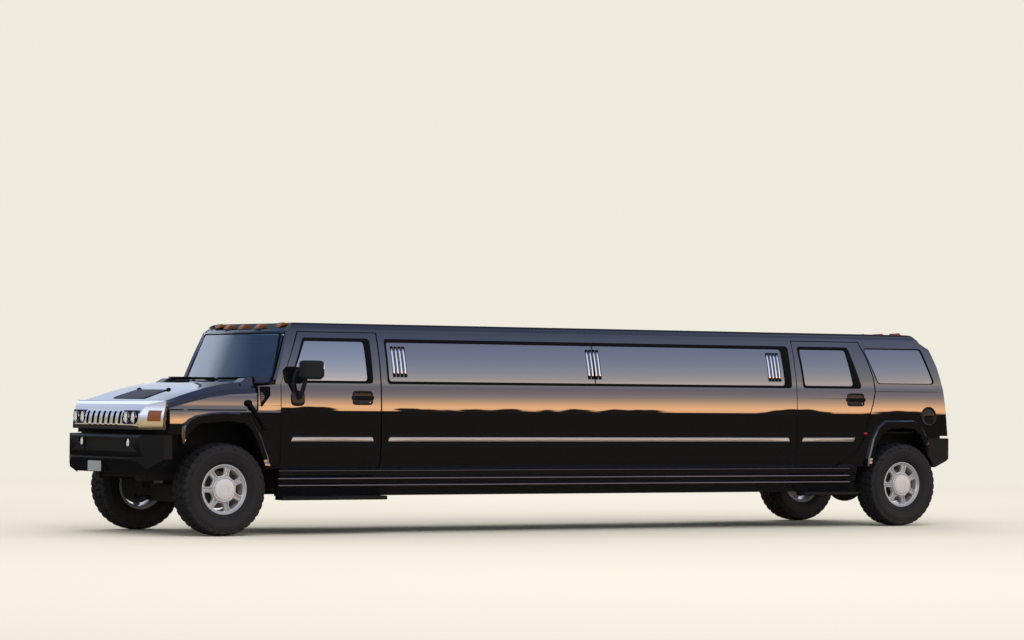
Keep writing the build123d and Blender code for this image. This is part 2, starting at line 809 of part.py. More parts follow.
def make_front_bumper():
    """Full-width bumper with a lip and a sloping skid face below."""
    nose = -front_overhang
    back = bumper_back_aft
    top = bumper_top_z
    profile = ((back, top), (nose + 38, top), (nose + 20, top - 25), (nose + 20, top - 160), (nose + 44, top - 204),
               (nose + 2, top - 218), (nose, top - 232), (nose + 14, top - 248), (nose + 70, top - 340),
               (nose + 160, bumper_foot_z), (back, bumper_foot_z))
    half = body_half + bumper_stand
    right = [(back + 4, half - 4), (fascia_corner_aft - 10, half - 8), (nose + 35, half - 220),
             (nose - 1, half - 370)]
    shape = side_prism(profile, -half, half)
    shape &= plan_prism(right + [(a, -y) for a, y in right[::-1]], bumper_foot_z - 100, top + 40)
    raked = [(bumper_foot_half, bumper_foot_z), (half, bumper_corner_z), (half, top)]
    shape &= cross_prism(raked + [(-y, z) for y, z in raked[::-1]], nose - 10, back + 10)
    inner = body_half - bumper_wall
    hollow = [(back + 12, inner), (fascia_corner_aft + 20, inner), (nose + 90, right[2][1] - bumper_wall)]
    shape -= plan_prism(hollow + [(a, -y) for a, y in hollow[::-1]], bumper_foot_z - 90, top - 60)
    shape -= block(fascia_corner_aft, back + 12, -inner, inner, bumper_foot_z - 90, top + 40)
    shape -= block(nose - 10, nose + 20 + recess_depth, -recess_half, recess_half, top - 150, top - 40)
    for side in (1, -1):
        shape -= block(back - 38, back + 7, side * (inner - 28), side * (half + 90), bumper_foot_z - 90, sill_top)
        shape += block(nose + 80, rail_front_aft, side * (rail_inner + 10), side * (rail_outer - 10), 605, 660)
        shape -= rod((nose - 90, side * fog_y, fog_z), (fog_face() + 36 + seat_gap, side * fog_y, fog_z),
                     fog_r + seat_gap)
    foot = plate_z - plate_height / 2
    shape += block(plate_aft, nose + 80, plate_y - plate_half, plate_y + plate_half, foot, foot + plate_height)
    return shape - plate_bores(plate_aft, plate_y, plate_z, 1)


def plate_bores(aft, y, z, inward):
    """Two screw holes of a licence plate, sunk inwards from a face."""
    half = plate_bolt_pitch / 2
    return gathered(*[rod((aft - inward * plate_bolt_depth / 2, y + side * half, z),
                          (aft + inward * plate_bolt_depth, y + side * half, z), plate_bolt_r)
                      for side in (1, -1)])


def make_rear_bumper():
    """Full-width rear bumper with a flat pad for the licence plate."""
    top = bumper_top_z - 20
    front = wheelbase + 355
    profile = ((front, top), (rear_end - 25, top), (rear_end, top - 40), (rear_end - 10, top - 173),
               (rear_end - 120, top - 250), (rear_end - 270, top - 313), (rear_end - 280, top - 300),
               (front, top - 180))
    half = body_half + bumper_stand
    right = [(front - 55, half - 4), (rear_end - 80, half - 10), (rear_end - 15, half - 130), (rear_end, half - 410)]
    shape = side_prism(profile, -half, half)
    shape &= plan_prism(right + [(a, -y) for a, y in right[::-1]], top - 440, top + 60)
    inner = body_half - bumper_wall
    shape -= block(front - 55, rear_end - 90, -inner, inner, top - 440, top + 60)
    pad = rear_end - 6
    shape -= block(pad, rear_end + 10, -plate_half - 10, plate_half + 10, rear_plate_z - 70, rear_plate_z + 70)
    for side in (1, -1):
        shape += block(rail_rear_aft, rear_end - 80, side * (rail_inner + 10), side * (rail_outer - 10),
                       top - 350, top - 180)
    return shape - plate_bores(pad, 0, rear_plate_z, -1)


def lamp_row(roof, mid_aft, side_aft, end_aft, way):
    """Five marker lamps across the roof: three in the middle and one near each corner."""
    places = ((mid_aft, 0), (side_aft, 320), (side_aft, -320), (end_aft, 640), (end_aft, -640))
    return gathered(*[roof_lamp(roof, a, y, way) for a, y in places])


def roof_lamp(roof, aft, y, way):
    """Small domed marker lamp standing on the roof skin."""
    foot = skin_height(roof, aft, y)
    points = ((aft - 62, foot - 18), (aft - 50 * way, foot + 8), (aft - 22 * way, foot + 32),
              (aft + 40 * way, foot + 24), (aft + 62 * way, foot - 18))
    lamp = side_prism(points, y - 45, y + 45) - Pos(0, 0, seat_gap) * roof
    return lamp.solids().sort_by(Axis.Z)[-1]


def skin_height(roof, aft, y):
    probe = roof & block(aft - 1, aft + 1, y - 1, y + 1, gutter_z, far_up)
    return probe.bounding_box().max.Z


def make_amber_lamps(roof):
    """Corner markers in the fascia ends and the five clearance lamps over the windshield."""
    row = lamp_row(roof, roof_front_aft - 5, roof_front_aft + 3, roof_front_aft + 70, 1)
    return gathered(both(marker_block(0)), row)


def make_red_lamps(roof):
    """Upright tail lamps on the corner posts and the five clearance lamps at the roof's end."""
    row = lamp_row(roof, roof_rear_aft - 128, roof_rear_aft - 128, roof_rear_aft - 148, -1)
    post = [*shifted(tail_line, 18), *shifted(tail_line[::-1], seat_gap)]
    lens = side_prism(post, tail_post_half + 30, tail_post_half + 140)
    lens &= block(wheelbase + 400, rear_end, tail_post_half + 20, body_half, *tail_lens_z)
    return gathered(both(lens), row)


def make_engine():
    """One plain block of the engine's size, on a cross bar between the rails."""
    start = cowl_aft - engine_gap - engine_length
    case = block(start, start + engine_length, -engine_half, engine_half, engine_foot_z,
                 engine_foot_z + engine_height)
    return case + block(start + 200, start + 420, -rail_inner, rail_inner, engine_foot_z + 30,
                        engine_foot_z + 90)


def make_driveline():
    """Gearbox, long propeller shaft and the bearings that hang it from the crossmembers."""
    case = block(cowl_aft - engine_gap, gearbox_end_aft, -gearbox_half, gearbox_half, 430, 546)
    shape = case + rod((gearbox_end_aft, 0, shaft_z), (rear_diff_aft, 0, shaft_z), shaft_r)
    hang_z = floor_z - crossmember_drop - crossmember_height
    for a in crossmember_places()[2:7]:
        shape += block(a - 30, a + 30, -90, 90, shaft_z - 20, hang_z)
    return shape


def make_rear_axle():
    """Live rear axle: tube, round differential case, spring seats and the wheel spindles."""
    end = wheel_y - 66
    tube = rod((wheelbase, -end, hub_z), (wheelbase, end, hub_z), axle_tube_r)
    tip = wheel_y - hub_face
    tube += rod((wheelbase, -tip, hub_z), (wheelbase, tip, hub_z), hub_bore_r - bearing_gap)
    case = Pos(x_at(wheelbase), 0, hub_z) * Sphere(diff_r)
    case &= block(wheelbase - 180, wheelbase + 200, -160, 160, hub_z - diff_r, hub_z + diff_r)
    nose = block(rear_diff_aft + seat_gap, wheelbase - 140, -70, 70, hub_z - 45, hub_z + 85)
    shape = tube + case + nose
    for side in (1, -1):
        shape += block(wheelbase - 50, wheelbase + 50, side * (rail_inner + 10), side * (rail_outer - 10),
                       hub_z, rail_foot)
    return shape


def make_arm(side, inner, reach, tip, z, thickness, eye_r):
    """Control arm from the frame out to the kingpin, with a bored eye."""
    y = side * kingpin_y
    arm = plan_prism(((-reach, side * inner), (reach, side * inner), (tip, y), (-tip, y)), z, z + thickness)
    arm += rod((0, y, z), (0, y, z + thickness), eye_r)
    return arm - rod((0, y, z - 10), (0, y, z + thickness + 10), kingpin_r + bearing_gap)


def make_front_suspension():
    """Front crossmember with its axle case and half shafts, and two pairs of control arms."""
    lower_z = hub_z - lower_arm_drop
    shape = block(-90, 90, -rail_inner + 20, rail_inner - 20, lower_z - 10, hub_z + 25)
    shape += rod((0, -wheel_y + 175, hub_z), (0, wheel_y - 175, hub_z), half_shaft_r)
    uppers = []
    for side in (1, -1):
        shape += make_arm(side, rail_inner - 40, 150, 45, lower_z, lower_arm_thickness, 48)
        uppers.append(make_arm(side, rail_outer, 140, 40, hub_z + upper_arm_rise, upper_arm_thickness, 44))
    return gathered(shape, *uppers)


def make_knuckle(side):
    """Steering knuckle: kingpin through both arms, upright, and the wheel spindle."""
    y = side * kingpin_y
    low = hub_z - lower_arm_drop
    high = hub_z + upper_arm_rise
    pin = rod((0, y, low - 4), (0, y, high + upper_arm_thickness + 4), kingpin_r)
    upright = block(-42, 42, y - 34, y + 34, low + lower_arm_thickness + 6, high - 6)
    spindle = rod((0, y, hub_z), (0, side * (wheel_y - hub_face), hub_z), hub_bore_r - bearing_gap)
    return pin + upright + spindle


def make_tyre():
    """Plain tyre section turned about the wheel axis, at the origin along Y."""
    half = tyre_width / 2
    r = tyre_od / 2
    bead = rim_width / 2 - rim_flange - seat_gap
    right = ((rim_bead_r + seat_gap, bead), (rim_lip_r + bead_rise, bead), (r - sidewall_low, half),
             (r - sidewall_high, half - 2), (r - tread_drop, half - tyre_shoulder),
             (r, half - tyre_shoulder - tread_edge))
    return turned([*right, *[(pr, -py) for pr, py in right[::-1]]])


def make_rim():
    """Deep rim with paired-rib spokes round a broad hub cap; its face looks along +Y."""
    half = rim_width / 2
    inside = rim_bead_r - rim_wall
    barrel = turned(((rim_bead_r, rim_flange - half), (rim_lip_r, rim_flange - 2 - half), (rim_lip_r, -half),
                     (rim_bead_r - 8, -half), (inside, 12 - half), (inside, half - 12), (rim_bead_r - 4, half),
                     (rim_lip_r, half), (rim_lip_r, half - rim_flange + 2), (rim_bead_r, half - rim_flange)))
    face_y = half - rim_dish
    shape = barrel + turned(((0, face_y - 70), (hub_r, face_y - 70), (cap_r, face_y - 40), (cap_r, face_y),
                             (cap_r - cap_edge, face_y + cap_height), (0, face_y + cap_height + cap_dome)))
    for i in range(spoke_count):
        spoke = spoke_bar(cap_r - 15, rim_bead_r - 4, spoke_width, face_y - spoke_depth, face_y - spoke_drop)
        groove = spoke_bar(cap_r + 6, rim_bead_r - 22, spoke_width / 3, face_y - groove_depth, face_y + 5)
        shape += Rot(0, 360 / spoke_count * (i + 0.5), 0) * (spoke - groove)
    shape += turned(((0, -hub_depth), (hub_r, -hub_depth), (hub_r, face_y - 60), (0, face_y - 60)))
    floor = face_y - hub_bore_inset
    return shape - turned(((0, -half - 100), (hub_bore_r, -half - 100), (hub_bore_r, floor), (0, floor)))


def spoke_bar(r0, r1, width, y0, y1):
    return Pos((r0 + r1) / 2, (y0 + y1) / 2, 0) * Box(r1 - r0, y1 - y0, width)


def placed(shape, aft, side):
    turned_out = shape if side > 0 else Rot(0, 0, 180) * shape
    return Pos(x_at(aft), side * wheel_y, hub_z) * turned_out


def make_exhaust():
    """Side-run pipe with a long silencer, kicked up over the rear axle."""
    y = exhaust_y
    z = exhaust_z
    over_z = hub_z + 122
    shape = pipe(((cowl_aft + 34, y / 2, z), (760, y, z), (wheelbase - 600, y, z), (wheelbase - 350, y, over_z),
                  (wheelbase + 320, y, over_z), (wheelbase + 520, y, over_z - 46),
                  (rear_end - 70, y, over_z - 46)), exhaust_r)
    shape += block(wheelbase - 2750, wheelbase - 1850, y - 85, y + 85, z - 60, z + 60)
    for a in (1500, wheelbase - 4900, wheelbase - 3200, wheelbase - 1000):
        shape += block(a - 15, a + 15, y - 20, y + 20, z, floor_z)
    return shape


def make_fuel_tank():
    start = wheelbase - tank_ahead
    return block(start, start + tank_length, rail_outer + 20, body_half - 165, tank_foot_z, floor_z)


def make_dashboard():
    """Dashboard with its binnacle, column and steering wheel."""
    start = cowl_aft + cowl_wall
    half = body_half - 160
    shape = side_prism(((start, belt_z - 280), (start, belt_z - 8), (700, belt_z - 20), (860, belt_z - 60),
                        (880, belt_z - 140), (760, belt_z - 310)), -half, half)
    y = driver_y
    shape += rod((800, y, belt_z - 190), (1010, y, belt_z - 110), 26)
    hub = Plane(Vector(x_at(1000), y, belt_z - 114), z_dir=Vector(-210, 0, 80))
    shape += hub * Torus(wheel_rim_r, wheel_rim_thickness)
    for quarter in range(4):
        spoke = Pos(wheel_rim_r / 2, 0, 0) * Box(wheel_rim_r, 26, 14)
        shape += hub * (Rot(0, 0, 90 * quarter) * spoke)
    return shape


def make_seats():
    """Two front seats, the long side couch on the right, and the rear bench."""
    seats = []
    for y in (driver_y, -driver_y):
        base = block(1130, 1620, y - seat_half, y + seat_half, floor_top, seat_z)
        back = side_prism(((1500, seat_z), (1640, seat_z), (1730, 1640), (1630, 1640)), y - seat_half, y + seat_half)
        head = side_prism(((1650, 1640), (1730, 1640), (1750, 1820), (1660, 1820)), y - 140, y + 140)
        seats.append(base + back + head)
    wall_y = body_half - 170
    couch_end = rear_door_front - 147
    couch = block(couch_start, couch_end, -wall_y, -wall_y + 500, floor_top, seat_z)
    couch += block(couch_start, couch_end, -wall_y, -wall_y + 180, seat_z, seat_z + 380)
    bench_half = housing_inner - 30
    bench = block(wheelbase - 440, wheelbase + 130, -bench_half, bench_half, floor_top, seat_z)
    bench += block(wheelbase - 20, wheelbase + 130, -bench_half, bench_half, seat_z, seat_z + 510)
    return gathered(*seats, couch, bench)


def main():
    os.makedirs("parts", exist_ok=True)
    roof = make_roof()
    write("roof", roof)
    write("amber_lamps", make_amber_lamps(roof))
    write("red_lamps", make_red_lamps(roof))
    write("frame_rails", make_frame())
    write("frame_crossmembers", make_crossmembers())
    write("floor", make_floor())
    write("sills", make_sills())
    write("mid_sides", make_mid_sides())
    write("quarter_panels", make_quarter_panels())
    write("cowl", make_cowl())
    write("windshield", make_windshield())
    write("side_glass", gathered(both(glass_pane(mid_window)), both(glass_pane(quarter_window))))
    write("front_fenders", make_front_fenders())
    write("wheel_housings", make_wheel_housings())
    write("radiator_support", make_support())
    write("grille", make_grille())
    write("headlamps", make_headlamps())
    write("front_bumper", make_front_bumper())
    write("rear_bumper", make_rear_bumper())
    write("step_boards", make_steps())
    write("engine", make_engine())
    write("driveline", make_driveline())
    write("exhaust", make_exhaust())
    write("fuel_tank", make_fuel_tank())
    write("rear_axle", make_rear_axle())
    write("front_suspension", make_front_suspension())
    write("dashboard", make_dashboard())
    write("seats", make_seats())
    write("hood", make_hood())
    write("tailgate", make_tailgate())
    write("tailgate_glass", make_tailgate_glass())
    doors = {
        "front": make_door(front_door, front_window, front_door_rear - 203, belt_z - 113),
        "rear": make_door(rear_door, rear_window, wheelbase - 627, belt_z - 91),
    }
    panes = {"front": glass_pane(front_window), "rear": glass_pane(rear_window)}
    mirror = make_mirror()
    tyre = make_tyre()
    rim = make_rim()
    for name, side in (("left", 1), ("right", -1)):
        for row, aft in (("front", 0), ("rear", wheelbase)):
            write(f"door_{row}_{name}", doors[row] if side > 0 else mirrored(doors[row]))
            write(f"door_glass_{row}_{name}", panes[row] if side > 0 else mirrored(panes[row]))
            write(f"tyre_{row}_{name}", placed(tyre, aft, side))
            write(f"rim_{row}_{name}", placed(rim, aft, side))
        write(f"mirror_{name}", mirror if side > 0 else mirrored(mirror))
        write(f"knuckle_{name}", make_knuckle(side))


main()
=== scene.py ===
import math
from functools import partial

import bmesh
import bpy
import numpy as np
from mathutils import Matrix, Vector


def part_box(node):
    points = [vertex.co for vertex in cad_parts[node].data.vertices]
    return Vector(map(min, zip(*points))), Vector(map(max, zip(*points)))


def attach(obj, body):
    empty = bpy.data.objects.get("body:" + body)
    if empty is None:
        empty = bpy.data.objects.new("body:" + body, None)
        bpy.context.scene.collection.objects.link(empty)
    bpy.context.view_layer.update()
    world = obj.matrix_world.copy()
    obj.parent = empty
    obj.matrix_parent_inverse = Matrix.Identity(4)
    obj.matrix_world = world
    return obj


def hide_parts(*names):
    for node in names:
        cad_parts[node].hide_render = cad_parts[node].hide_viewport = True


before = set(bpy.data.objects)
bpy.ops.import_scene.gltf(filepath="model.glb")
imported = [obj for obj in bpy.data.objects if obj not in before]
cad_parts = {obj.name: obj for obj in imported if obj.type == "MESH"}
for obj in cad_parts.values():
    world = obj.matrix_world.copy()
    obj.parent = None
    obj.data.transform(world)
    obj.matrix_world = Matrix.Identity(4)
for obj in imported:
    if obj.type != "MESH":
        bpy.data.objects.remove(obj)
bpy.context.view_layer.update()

tyreLow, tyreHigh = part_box("tyre_front_left")
frontAxle = (tyreLow.x + tyreHigh.x) / 2
hubHeight = (tyreLow.z + tyreHigh.z) / 2
wheelbase = frontAxle - (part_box("tyre_rear_left")[0].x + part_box("tyre_rear_left")[1].x) / 2
wheelSide = (tyreLow.y + tyreHigh.y) / 2
hands = (("left", 1), ("right", -1))

# ---- surfaces ----

def gridFaces(rows, cols, wrapRows=False, wrapCols=False):
    # the four corners of each cell, counted along the rows and then the columns
    i = np.arange(rows if wrapRows else rows - 1)[:, None]
    j = np.arange(cols if wrapCols else cols - 1)[None, :]
    nextI = (i + 1) % rows
    nextJ = (j + 1) % cols
    cells = np.stack([i * cols + j, nextI * cols + j, nextI * cols + nextJ, i * cols + nextJ], -1)
    return cells.reshape(-1, 4)


def addPiece(name, form, finishName, body, angle=32, tidy=True):
    # a form is (points, faces), faces being lists of point numbers; doubles go and faces are turned outwards
    points, faces = form
    mesh = bpy.data.meshes.new(name)
    mesh.from_pydata(np.asarray(points, float).reshape(-1, 3).tolist(), [], [list(f) for f in faces])
    if tidy:
        form = bmesh.new()
        form.from_mesh(mesh)
        bmesh.ops.remove_doubles(form, verts=form.verts, dist=1e-5)
        bmesh.ops.recalc_face_normals(form, faces=form.faces)
        form.to_mesh(mesh)
        form.free()
    return placePiece(name, mesh, finishName, body, angle)


def placePiece(name, mesh, finishName, body, angle):
    mesh.materials.clear()
    mesh.materials.append(finish[finishName])
    mesh.shade_smooth()
    mesh.set_sharp_from_angle(angle=math.radians(angle))
    piece = bpy.data.objects.new(name, mesh)
    bpy.context.scene.collection.objects.link(piece)
    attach(piece, body)
    return piece


def softEdges(piece, width, segments, angle):
    bevel = piece.modifiers.new("softEdges", "BEVEL")
    bevel.width = width
    bevel.segments = segments
    bevel.limit_method = "ANGLE"
    bevel.angle_limit = math.radians(angle)
    bevel.harden_normals = True
    bevel.use_clamp_overlap = True


def mergeForms(forms):
    # joins (points, faces) pairs into one pair, renumbering each one's faces
    points, faces, first = [], [], 0
    for somePoints, someFaces in forms:
        somePoints = np.asarray(somePoints, float).reshape(-1, 3)
        points.append(somePoints)
        faces += [[int(k) + first for k in f] for f in someFaces]
        first += len(somePoints)
    return np.concatenate(points), faces


def cappedRings(rings):
    # rings of equally many points, skinned in order and closed at both ends
    count = len(rings[0])
    faces = gridFaces(len(rings), count, False, True).tolist()
    return np.concatenate(rings), faces + [list(range(count)), [(len(rings) - 1) * count + k for k in range(count)]]


def flipped(form, side):
    # the same form on the other side of the car when side is -1
    points, faces = form
    return np.asarray(points, float).reshape(-1, 3) * (1, side, 1), faces


def roundedOutline(corners, radius, steps=6):
    # each corner of a polygon becomes an arc touching both its edges; returns points along the loop
    corners = np.asarray(corners, float)
    before = np.roll(corners, 1, axis=0) - corners
    after = np.roll(corners, -1, axis=0) - corners
    before /= np.linalg.norm(before, axis=1, keepdims=True)
    after /= np.linalg.norm(after, axis=1, keepdims=True)
    cosine = (before * after).sum(1)
    halfAngle = np.arccos(np.clip(cosine, -1, 1)) / 2
    reach = radius / np.tan(halfAngle)
    start = corners + before * reach[:, None]
    end = corners + after * reach[:, None]
    t = np.linspace(0, 1, steps)[None, :, None]
    # quadratic blend from start over the corner to end
    arc = (1 - t) ** 2 * start[:, None] + 2 * t * (1 - t) * corners[:, None] + t * t * end[:, None]
    return arc.reshape(-1, 2)


def runTrim(path, across, outward, profile):
    # a closed profile carried along an open path, with flat ends
    profile = np.asarray(profile, float)
    across, outward = np.broadcast_to(across, path.shape), np.broadcast_to(outward, path.shape)
    return cappedRings(path[:, None] + across[:, None] * profile[None, :, :1]
                       + outward[:, None] * profile[None, :, 1:])


def turnedForm(profile, centre, steps=96, closed=True):
    # (radius, along y) profile turned about the wheel axis through centre
    profile = np.asarray(profile, float)
    turn = np.linspace(0, 2 * np.pi, steps, endpoint=False)[:, None]
    x = centre[0] + profile[None, :, 0] * np.cos(turn)
    z = centre[2] + profile[None, :, 0] * np.sin(turn)
    y = centre[1] + profile[None, :, 1] + 0 * turn
    points = np.stack([x, y, z], -1).reshape(-1, 3)
    return points, gridFaces(steps, len(profile), True, closed)


def roundedBlock(low, high, radius, cells):
    # a box grid pushed out to rounded edges: the nearest point of an inner box, then one radius outwards
    low, high = np.asarray(low, float), np.asarray(high, float)
    half, middle = (high - low) / 2, (high + low) / 2
    lines = [np.linspace(-1, 1, n + 1) for n in cells]
    points, faces, first = [], [], 0
    for flat in range(3):
        a, b = [k for k in range(3) if k != flat]
        for sign in (-1, 1):
            u, v = np.meshgrid(lines[a], lines[b], indexing="ij")
            sheet = np.zeros(u.shape + (3,))
            sheet[..., a], sheet[..., b], sheet[..., flat] = u, v, sign
            points.append(sheet.reshape(-1, 3))
            faces += (gridFaces(*u.shape) + first).tolist()
            first += u.size
    unit = np.concatenate(points)
    place = unit * half
    inner = np.clip(place, -(half - radius), half - radius)
    way = place - inner
    length = np.linalg.norm(way, axis=1, keepdims=True)
    return unit, inner + way / np.maximum(length, 1e-9) * radius, middle, half, faces


def ovalProfile(width, height, count=12, power=2.6):
    # superellipse: |u/a|^p + |v/b|^p = 1
    t = np.linspace(0, 2 * np.pi, count, endpoint=False)
    c, s = np.cos(t), np.sin(t)
    u = width / 2 * np.sign(c) * np.abs(c) ** (2 / power)
    v = height / 2 * np.sign(s) * np.abs(s) ** (2 / power)
    return np.stack([u, v], -1)


# ---- the body side's two sections: the flat CAD one and the curved one that shows ----

sideFlat = np.array([(0.64, 0.955), (0.72, 0.992), (0.93, 1.0), (1.2, 1.0), (1.44, 0.985), (1.48, 0.972),
                     (1.968, 0.87)])
# height and half width: upright to the waist; then height and lean in degrees, below and above the belt line
sideCurved = np.array([(0.64, 0.9555), (0.68, 0.976), (0.72, 0.988), (0.78, 0.995), (0.86, 0.9985),
                       (0.96, 1.0002), (1.08, 1.0006), (1.18, 1.0003)])
leanBelow = np.array([(1.18, 0.3), (1.22, 0.7), (1.25, 1.2), (1.3, 2.0), (1.35, 2.8), (1.4, 3.6), (1.44, 4.2)])
leanAbove = np.array([(1.442, 5.4), (1.968, 20.0)])


def leanedWidth(table, startWidth, count=60):
    # half width found by adding up -tan(lean) over the height
    z = np.linspace(table[0, 0], table[-1, 0], count)
    lean = np.radians(np.interp(z, table[:, 0], table[:, 1]))
    step = np.concatenate([[0], np.cumsum(np.tan((lean[1:] + lean[:-1]) / 2) * np.diff(z))])
    return z, startWidth - step


lowZ, lowHalf = leanedWidth(leanBelow, sideCurved[-1, 1])
highZ, highHalf = leanedWidth(leanAbove, lowHalf[-1] - 0.0001)
highHalf += (sideFlat[-1, 1] - highHalf[-1]) * (highZ - highZ[0]) / (highZ[-1] - highZ[0])
curveZ = np.concatenate([sideCurved[:-1, 0], lowZ, highZ])
curveHalf = np.concatenate([sideCurved[:-1, 1], lowHalf, highHalf])


def flatHalf(z):
    return np.interp(z, sideFlat[:, 0], sideFlat[:, 1])


def curvedHalf(z):
    return np.interp(z, curveZ, curveHalf)


def sidePoint(aft, z, lift=0.0, side=1):
    # a point on the curved body side, stations aft of the front axle
    aft, z = np.broadcast_arrays(aft, z)
    return np.stack([frontAxle - aft, side * (curvedHalf(z) + lift), z], -1)


def sideOutward(z, side=1):
    slope = (curvedHalf(z + 0.01) - curvedHalf(z - 0.01)) / 0.02
    outward = np.stack([0 * slope, side * np.ones_like(slope), -slope], -1)
    return outward / np.linalg.norm(outward, axis=-1, keepdims=True)


# how far the lean starts lower down, by station; then height, growth, its limit and where it fades out
noseDrop = np.array([(-0.8, 0.15), (-0.5, 0.135), (-0.3, 0.085), (-0.1, 0.045), (0.2, 0.015), (0.45, 0.0)])
noseLean = {"from": 1.17, "growth": 1.2, "most": 0.07, "fade": (0.2, 0.42)}
hoodShoulder = {"height": 1.2, "start": 0.85, "width": 0.12}
sideReach = {"half": 0.75, "low": 0.64, "high": 1.969, "nose": 1.25}


def leanShift(points):
    # ahead of the doors the lean starts lower down and grows faster, the more so towards the nose
    aft, z = frontAxle - points[:, 0], points[:, 2]
    faster = np.clip((z - noseLean["from"]) * noseLean["growth"], 0, noseLean["most"])
    faster *= np.interp(aft, noseLean["fade"], (1, 0))
    return z + np.interp(aft, noseDrop[:, 0], noseDrop[:, 1]) + faster


def curveHood(points):
    # the hood's upright sides lean like the doors beside them, its shoulders less and less up to the flat top
    moved = points.copy()
    lean = curvedHalf(leanShift(points)) - curvedHalf(hoodShoulder["height"])
    share = np.clip((np.abs(points[:, 1]) - hoodShoulder["start"]) / hoodShoulder["width"], 0, 1)
    moved[:, 1] += np.sign(points[:, 1]) * lean * share
    return moved


# height and setback of the flat face; half width and reach of the plan; height and lean of the rolled face
fasciaFlat = np.array([(1.01, 0.0), (1.05, 0.0), (1.192, 0.034), (1.25, 0.058), (1.284, 0.188)])
fasciaPlan = np.array([(0.0, 0.8), (0.6, 0.8), (0.72, 0.775), (0.958, 0.64)])
fasciaLean = np.array([(1.01, 1.1), (1.045, 2.0), (1.07, 3.4), (1.1, 5.6), (1.13, 10.0), (1.16, 19.0),
                       (1.192, 33.0)])
fasciaZ, fasciaBack = leanedWidth(fasciaLean, 0.0)
fasciaBack *= fasciaFlat[2, 1] / -fasciaBack[-1]
fasciaZ = np.concatenate([fasciaZ, fasciaFlat[3:, 0]])
fasciaBack = np.concatenate([-fasciaBack, fasciaFlat[3:, 1]])
fasciaShape = {"endShare": 0.6, "endMost": 0.05, "skin": 0.052, "blend": 0.02, "low": 1.009, "high": 1.29}


def curveFascia(points):
    # the chrome face stands upright at its foot and rolls back towards the hood, round the slanted ends too:
    # from where the flat face or the plan's slant stands to the plan line plus the rolled profile
    z, shape = points[:, 2], fasciaShape
    plan = np.interp(np.abs(points[:, 1]), fasciaPlan[:, 0], fasciaPlan[:, 1])
    raked = fasciaPlan[0, 1] - np.interp(z, fasciaFlat[:, 0], fasciaFlat[:, 1])
    rolled = fasciaPlan[0, 1] - np.interp(z, fasciaZ, fasciaBack)
    slanted = plan - shape["endShare"] * np.interp(z, fasciaZ, np.minimum(fasciaBack, shape["endMost"]))
    shift = np.minimum(rolled, slanted) - np.minimum(plan, raked)
    # only the skin moves, not the flange behind it
    behind = frontAxle + np.minimum(plan, raked) - points[:, 0]
    share = np.clip((shape["skin"] - behind) / shape["blend"], 0, 1)
    moved = points.copy()
    moved[:, 0] += np.where((z > shape["low"]) & (z < shape["high"]), shift * share, 0)
    return moved


def curveSides(points):
    # moves a point sideways by what the curved section has over the flat one at its height
    z = np.where(points[:, 2] < sideReach["nose"], leanShift(points), points[:, 2])
    shift = curvedHalf(z) - flatHalf(points[:, 2])
    inReach = ((np.abs(points[:, 1]) > sideReach["half"]) & (points[:, 2] > sideReach["low"])
               & (points[:, 2] < sideReach["high"]))
    moved = points.copy()
    moved[:, 1] += np.where(inReach, np.sign(points[:, 1]) * shift, 0)
    return moved


roofFlat = np.array([(0, 2.058), (0.7, 2.045), (0.845, 2.015), (0.87, 1.968)])
roofCurved = np.array([(0, 2.058), (0.3, 2.0578), (0.6, 2.0568), (0.72, 2.055), (0.78, 2.0515), (0.81, 2.045),
                       (0.832, 2.033), (0.848, 2.017), (0.86, 1.995), (0.87, 1.968)])
roofEdge = {"gutter": 1.9685, "skin": 0.02, "header": 0.76, "lean": 1.5, "most": 0.03}


def curveRoof(points):
    # the crown's facets drawn into one curve; only the outer skin, above the gutter, moves
    half = np.abs(points[:, 1])
    flat = np.interp(half, roofFlat[:, 0], roofFlat[:, 1])
    shift = np.interp(half, roofCurved[:, 0], roofCurved[:, 1]) - flat
    moved = points.copy()
    moved[:, 2] += np.where((points[:, 2] > roofEdge["gutter"]) & (points[:, 2] > flat - roofEdge["skin"]), shift, 0)
    # the front edge of the header leans back over the windshield
    above = np.clip(points[:, 2] - roofEdge["gutter"], 0, roofEdge["most"])
    moved[:, 0] -= np.where(points[:, 0] > frontAxle - roofEdge["header"], roofEdge["lean"] * above, 0)
    return moved


# the tail's line (aft of the front axle, height) and the smooth curve through its corners
tailLine = np.array([(8.5, 1.985), (8.64, 1.9), (8.712, 1.709), (8.768, 1.471), (8.797, 1.254), (8.826, 0.965)])
tailReach = (0.966, 1.899)


def tailCurve(z):
    # through each corner along a cubic whose slope there is the mean of both sides
    heights, places = tailLine[1:, 1][::-1], tailLine[1:, 0][::-1]
    step = np.diff(places) / np.diff(heights)
    slope = np.concatenate([[step[0]], (step[1:] + step[:-1]) / 2, [step[-1] * 1.3]])
    k = np.clip(np.searchsorted(heights, z) - 1, 0, len(step) - 1)
    width = heights[k + 1] - heights[k]
    t = np.clip((z - heights[k]) / width, 0, 1)
    return ((1 + 2 * t) * (1 - t) ** 2 * places[k] + t * (1 - t) ** 2 * width * slope[k]
            + t * t * (3 - 2 * t) * places[k + 1] + t * t * (t - 1) * width * slope[k + 1])


def curveTail(points):
    z = points[:, 2]
    shift = tailCurve(z) - np.interp(-z, -tailLine[:, 1], tailLine[:, 0])
    moved = points.copy()
    moved[:, 0] -= np.where((z > tailReach[0]) & (z < tailReach[1]), shift, 0)
    return moved


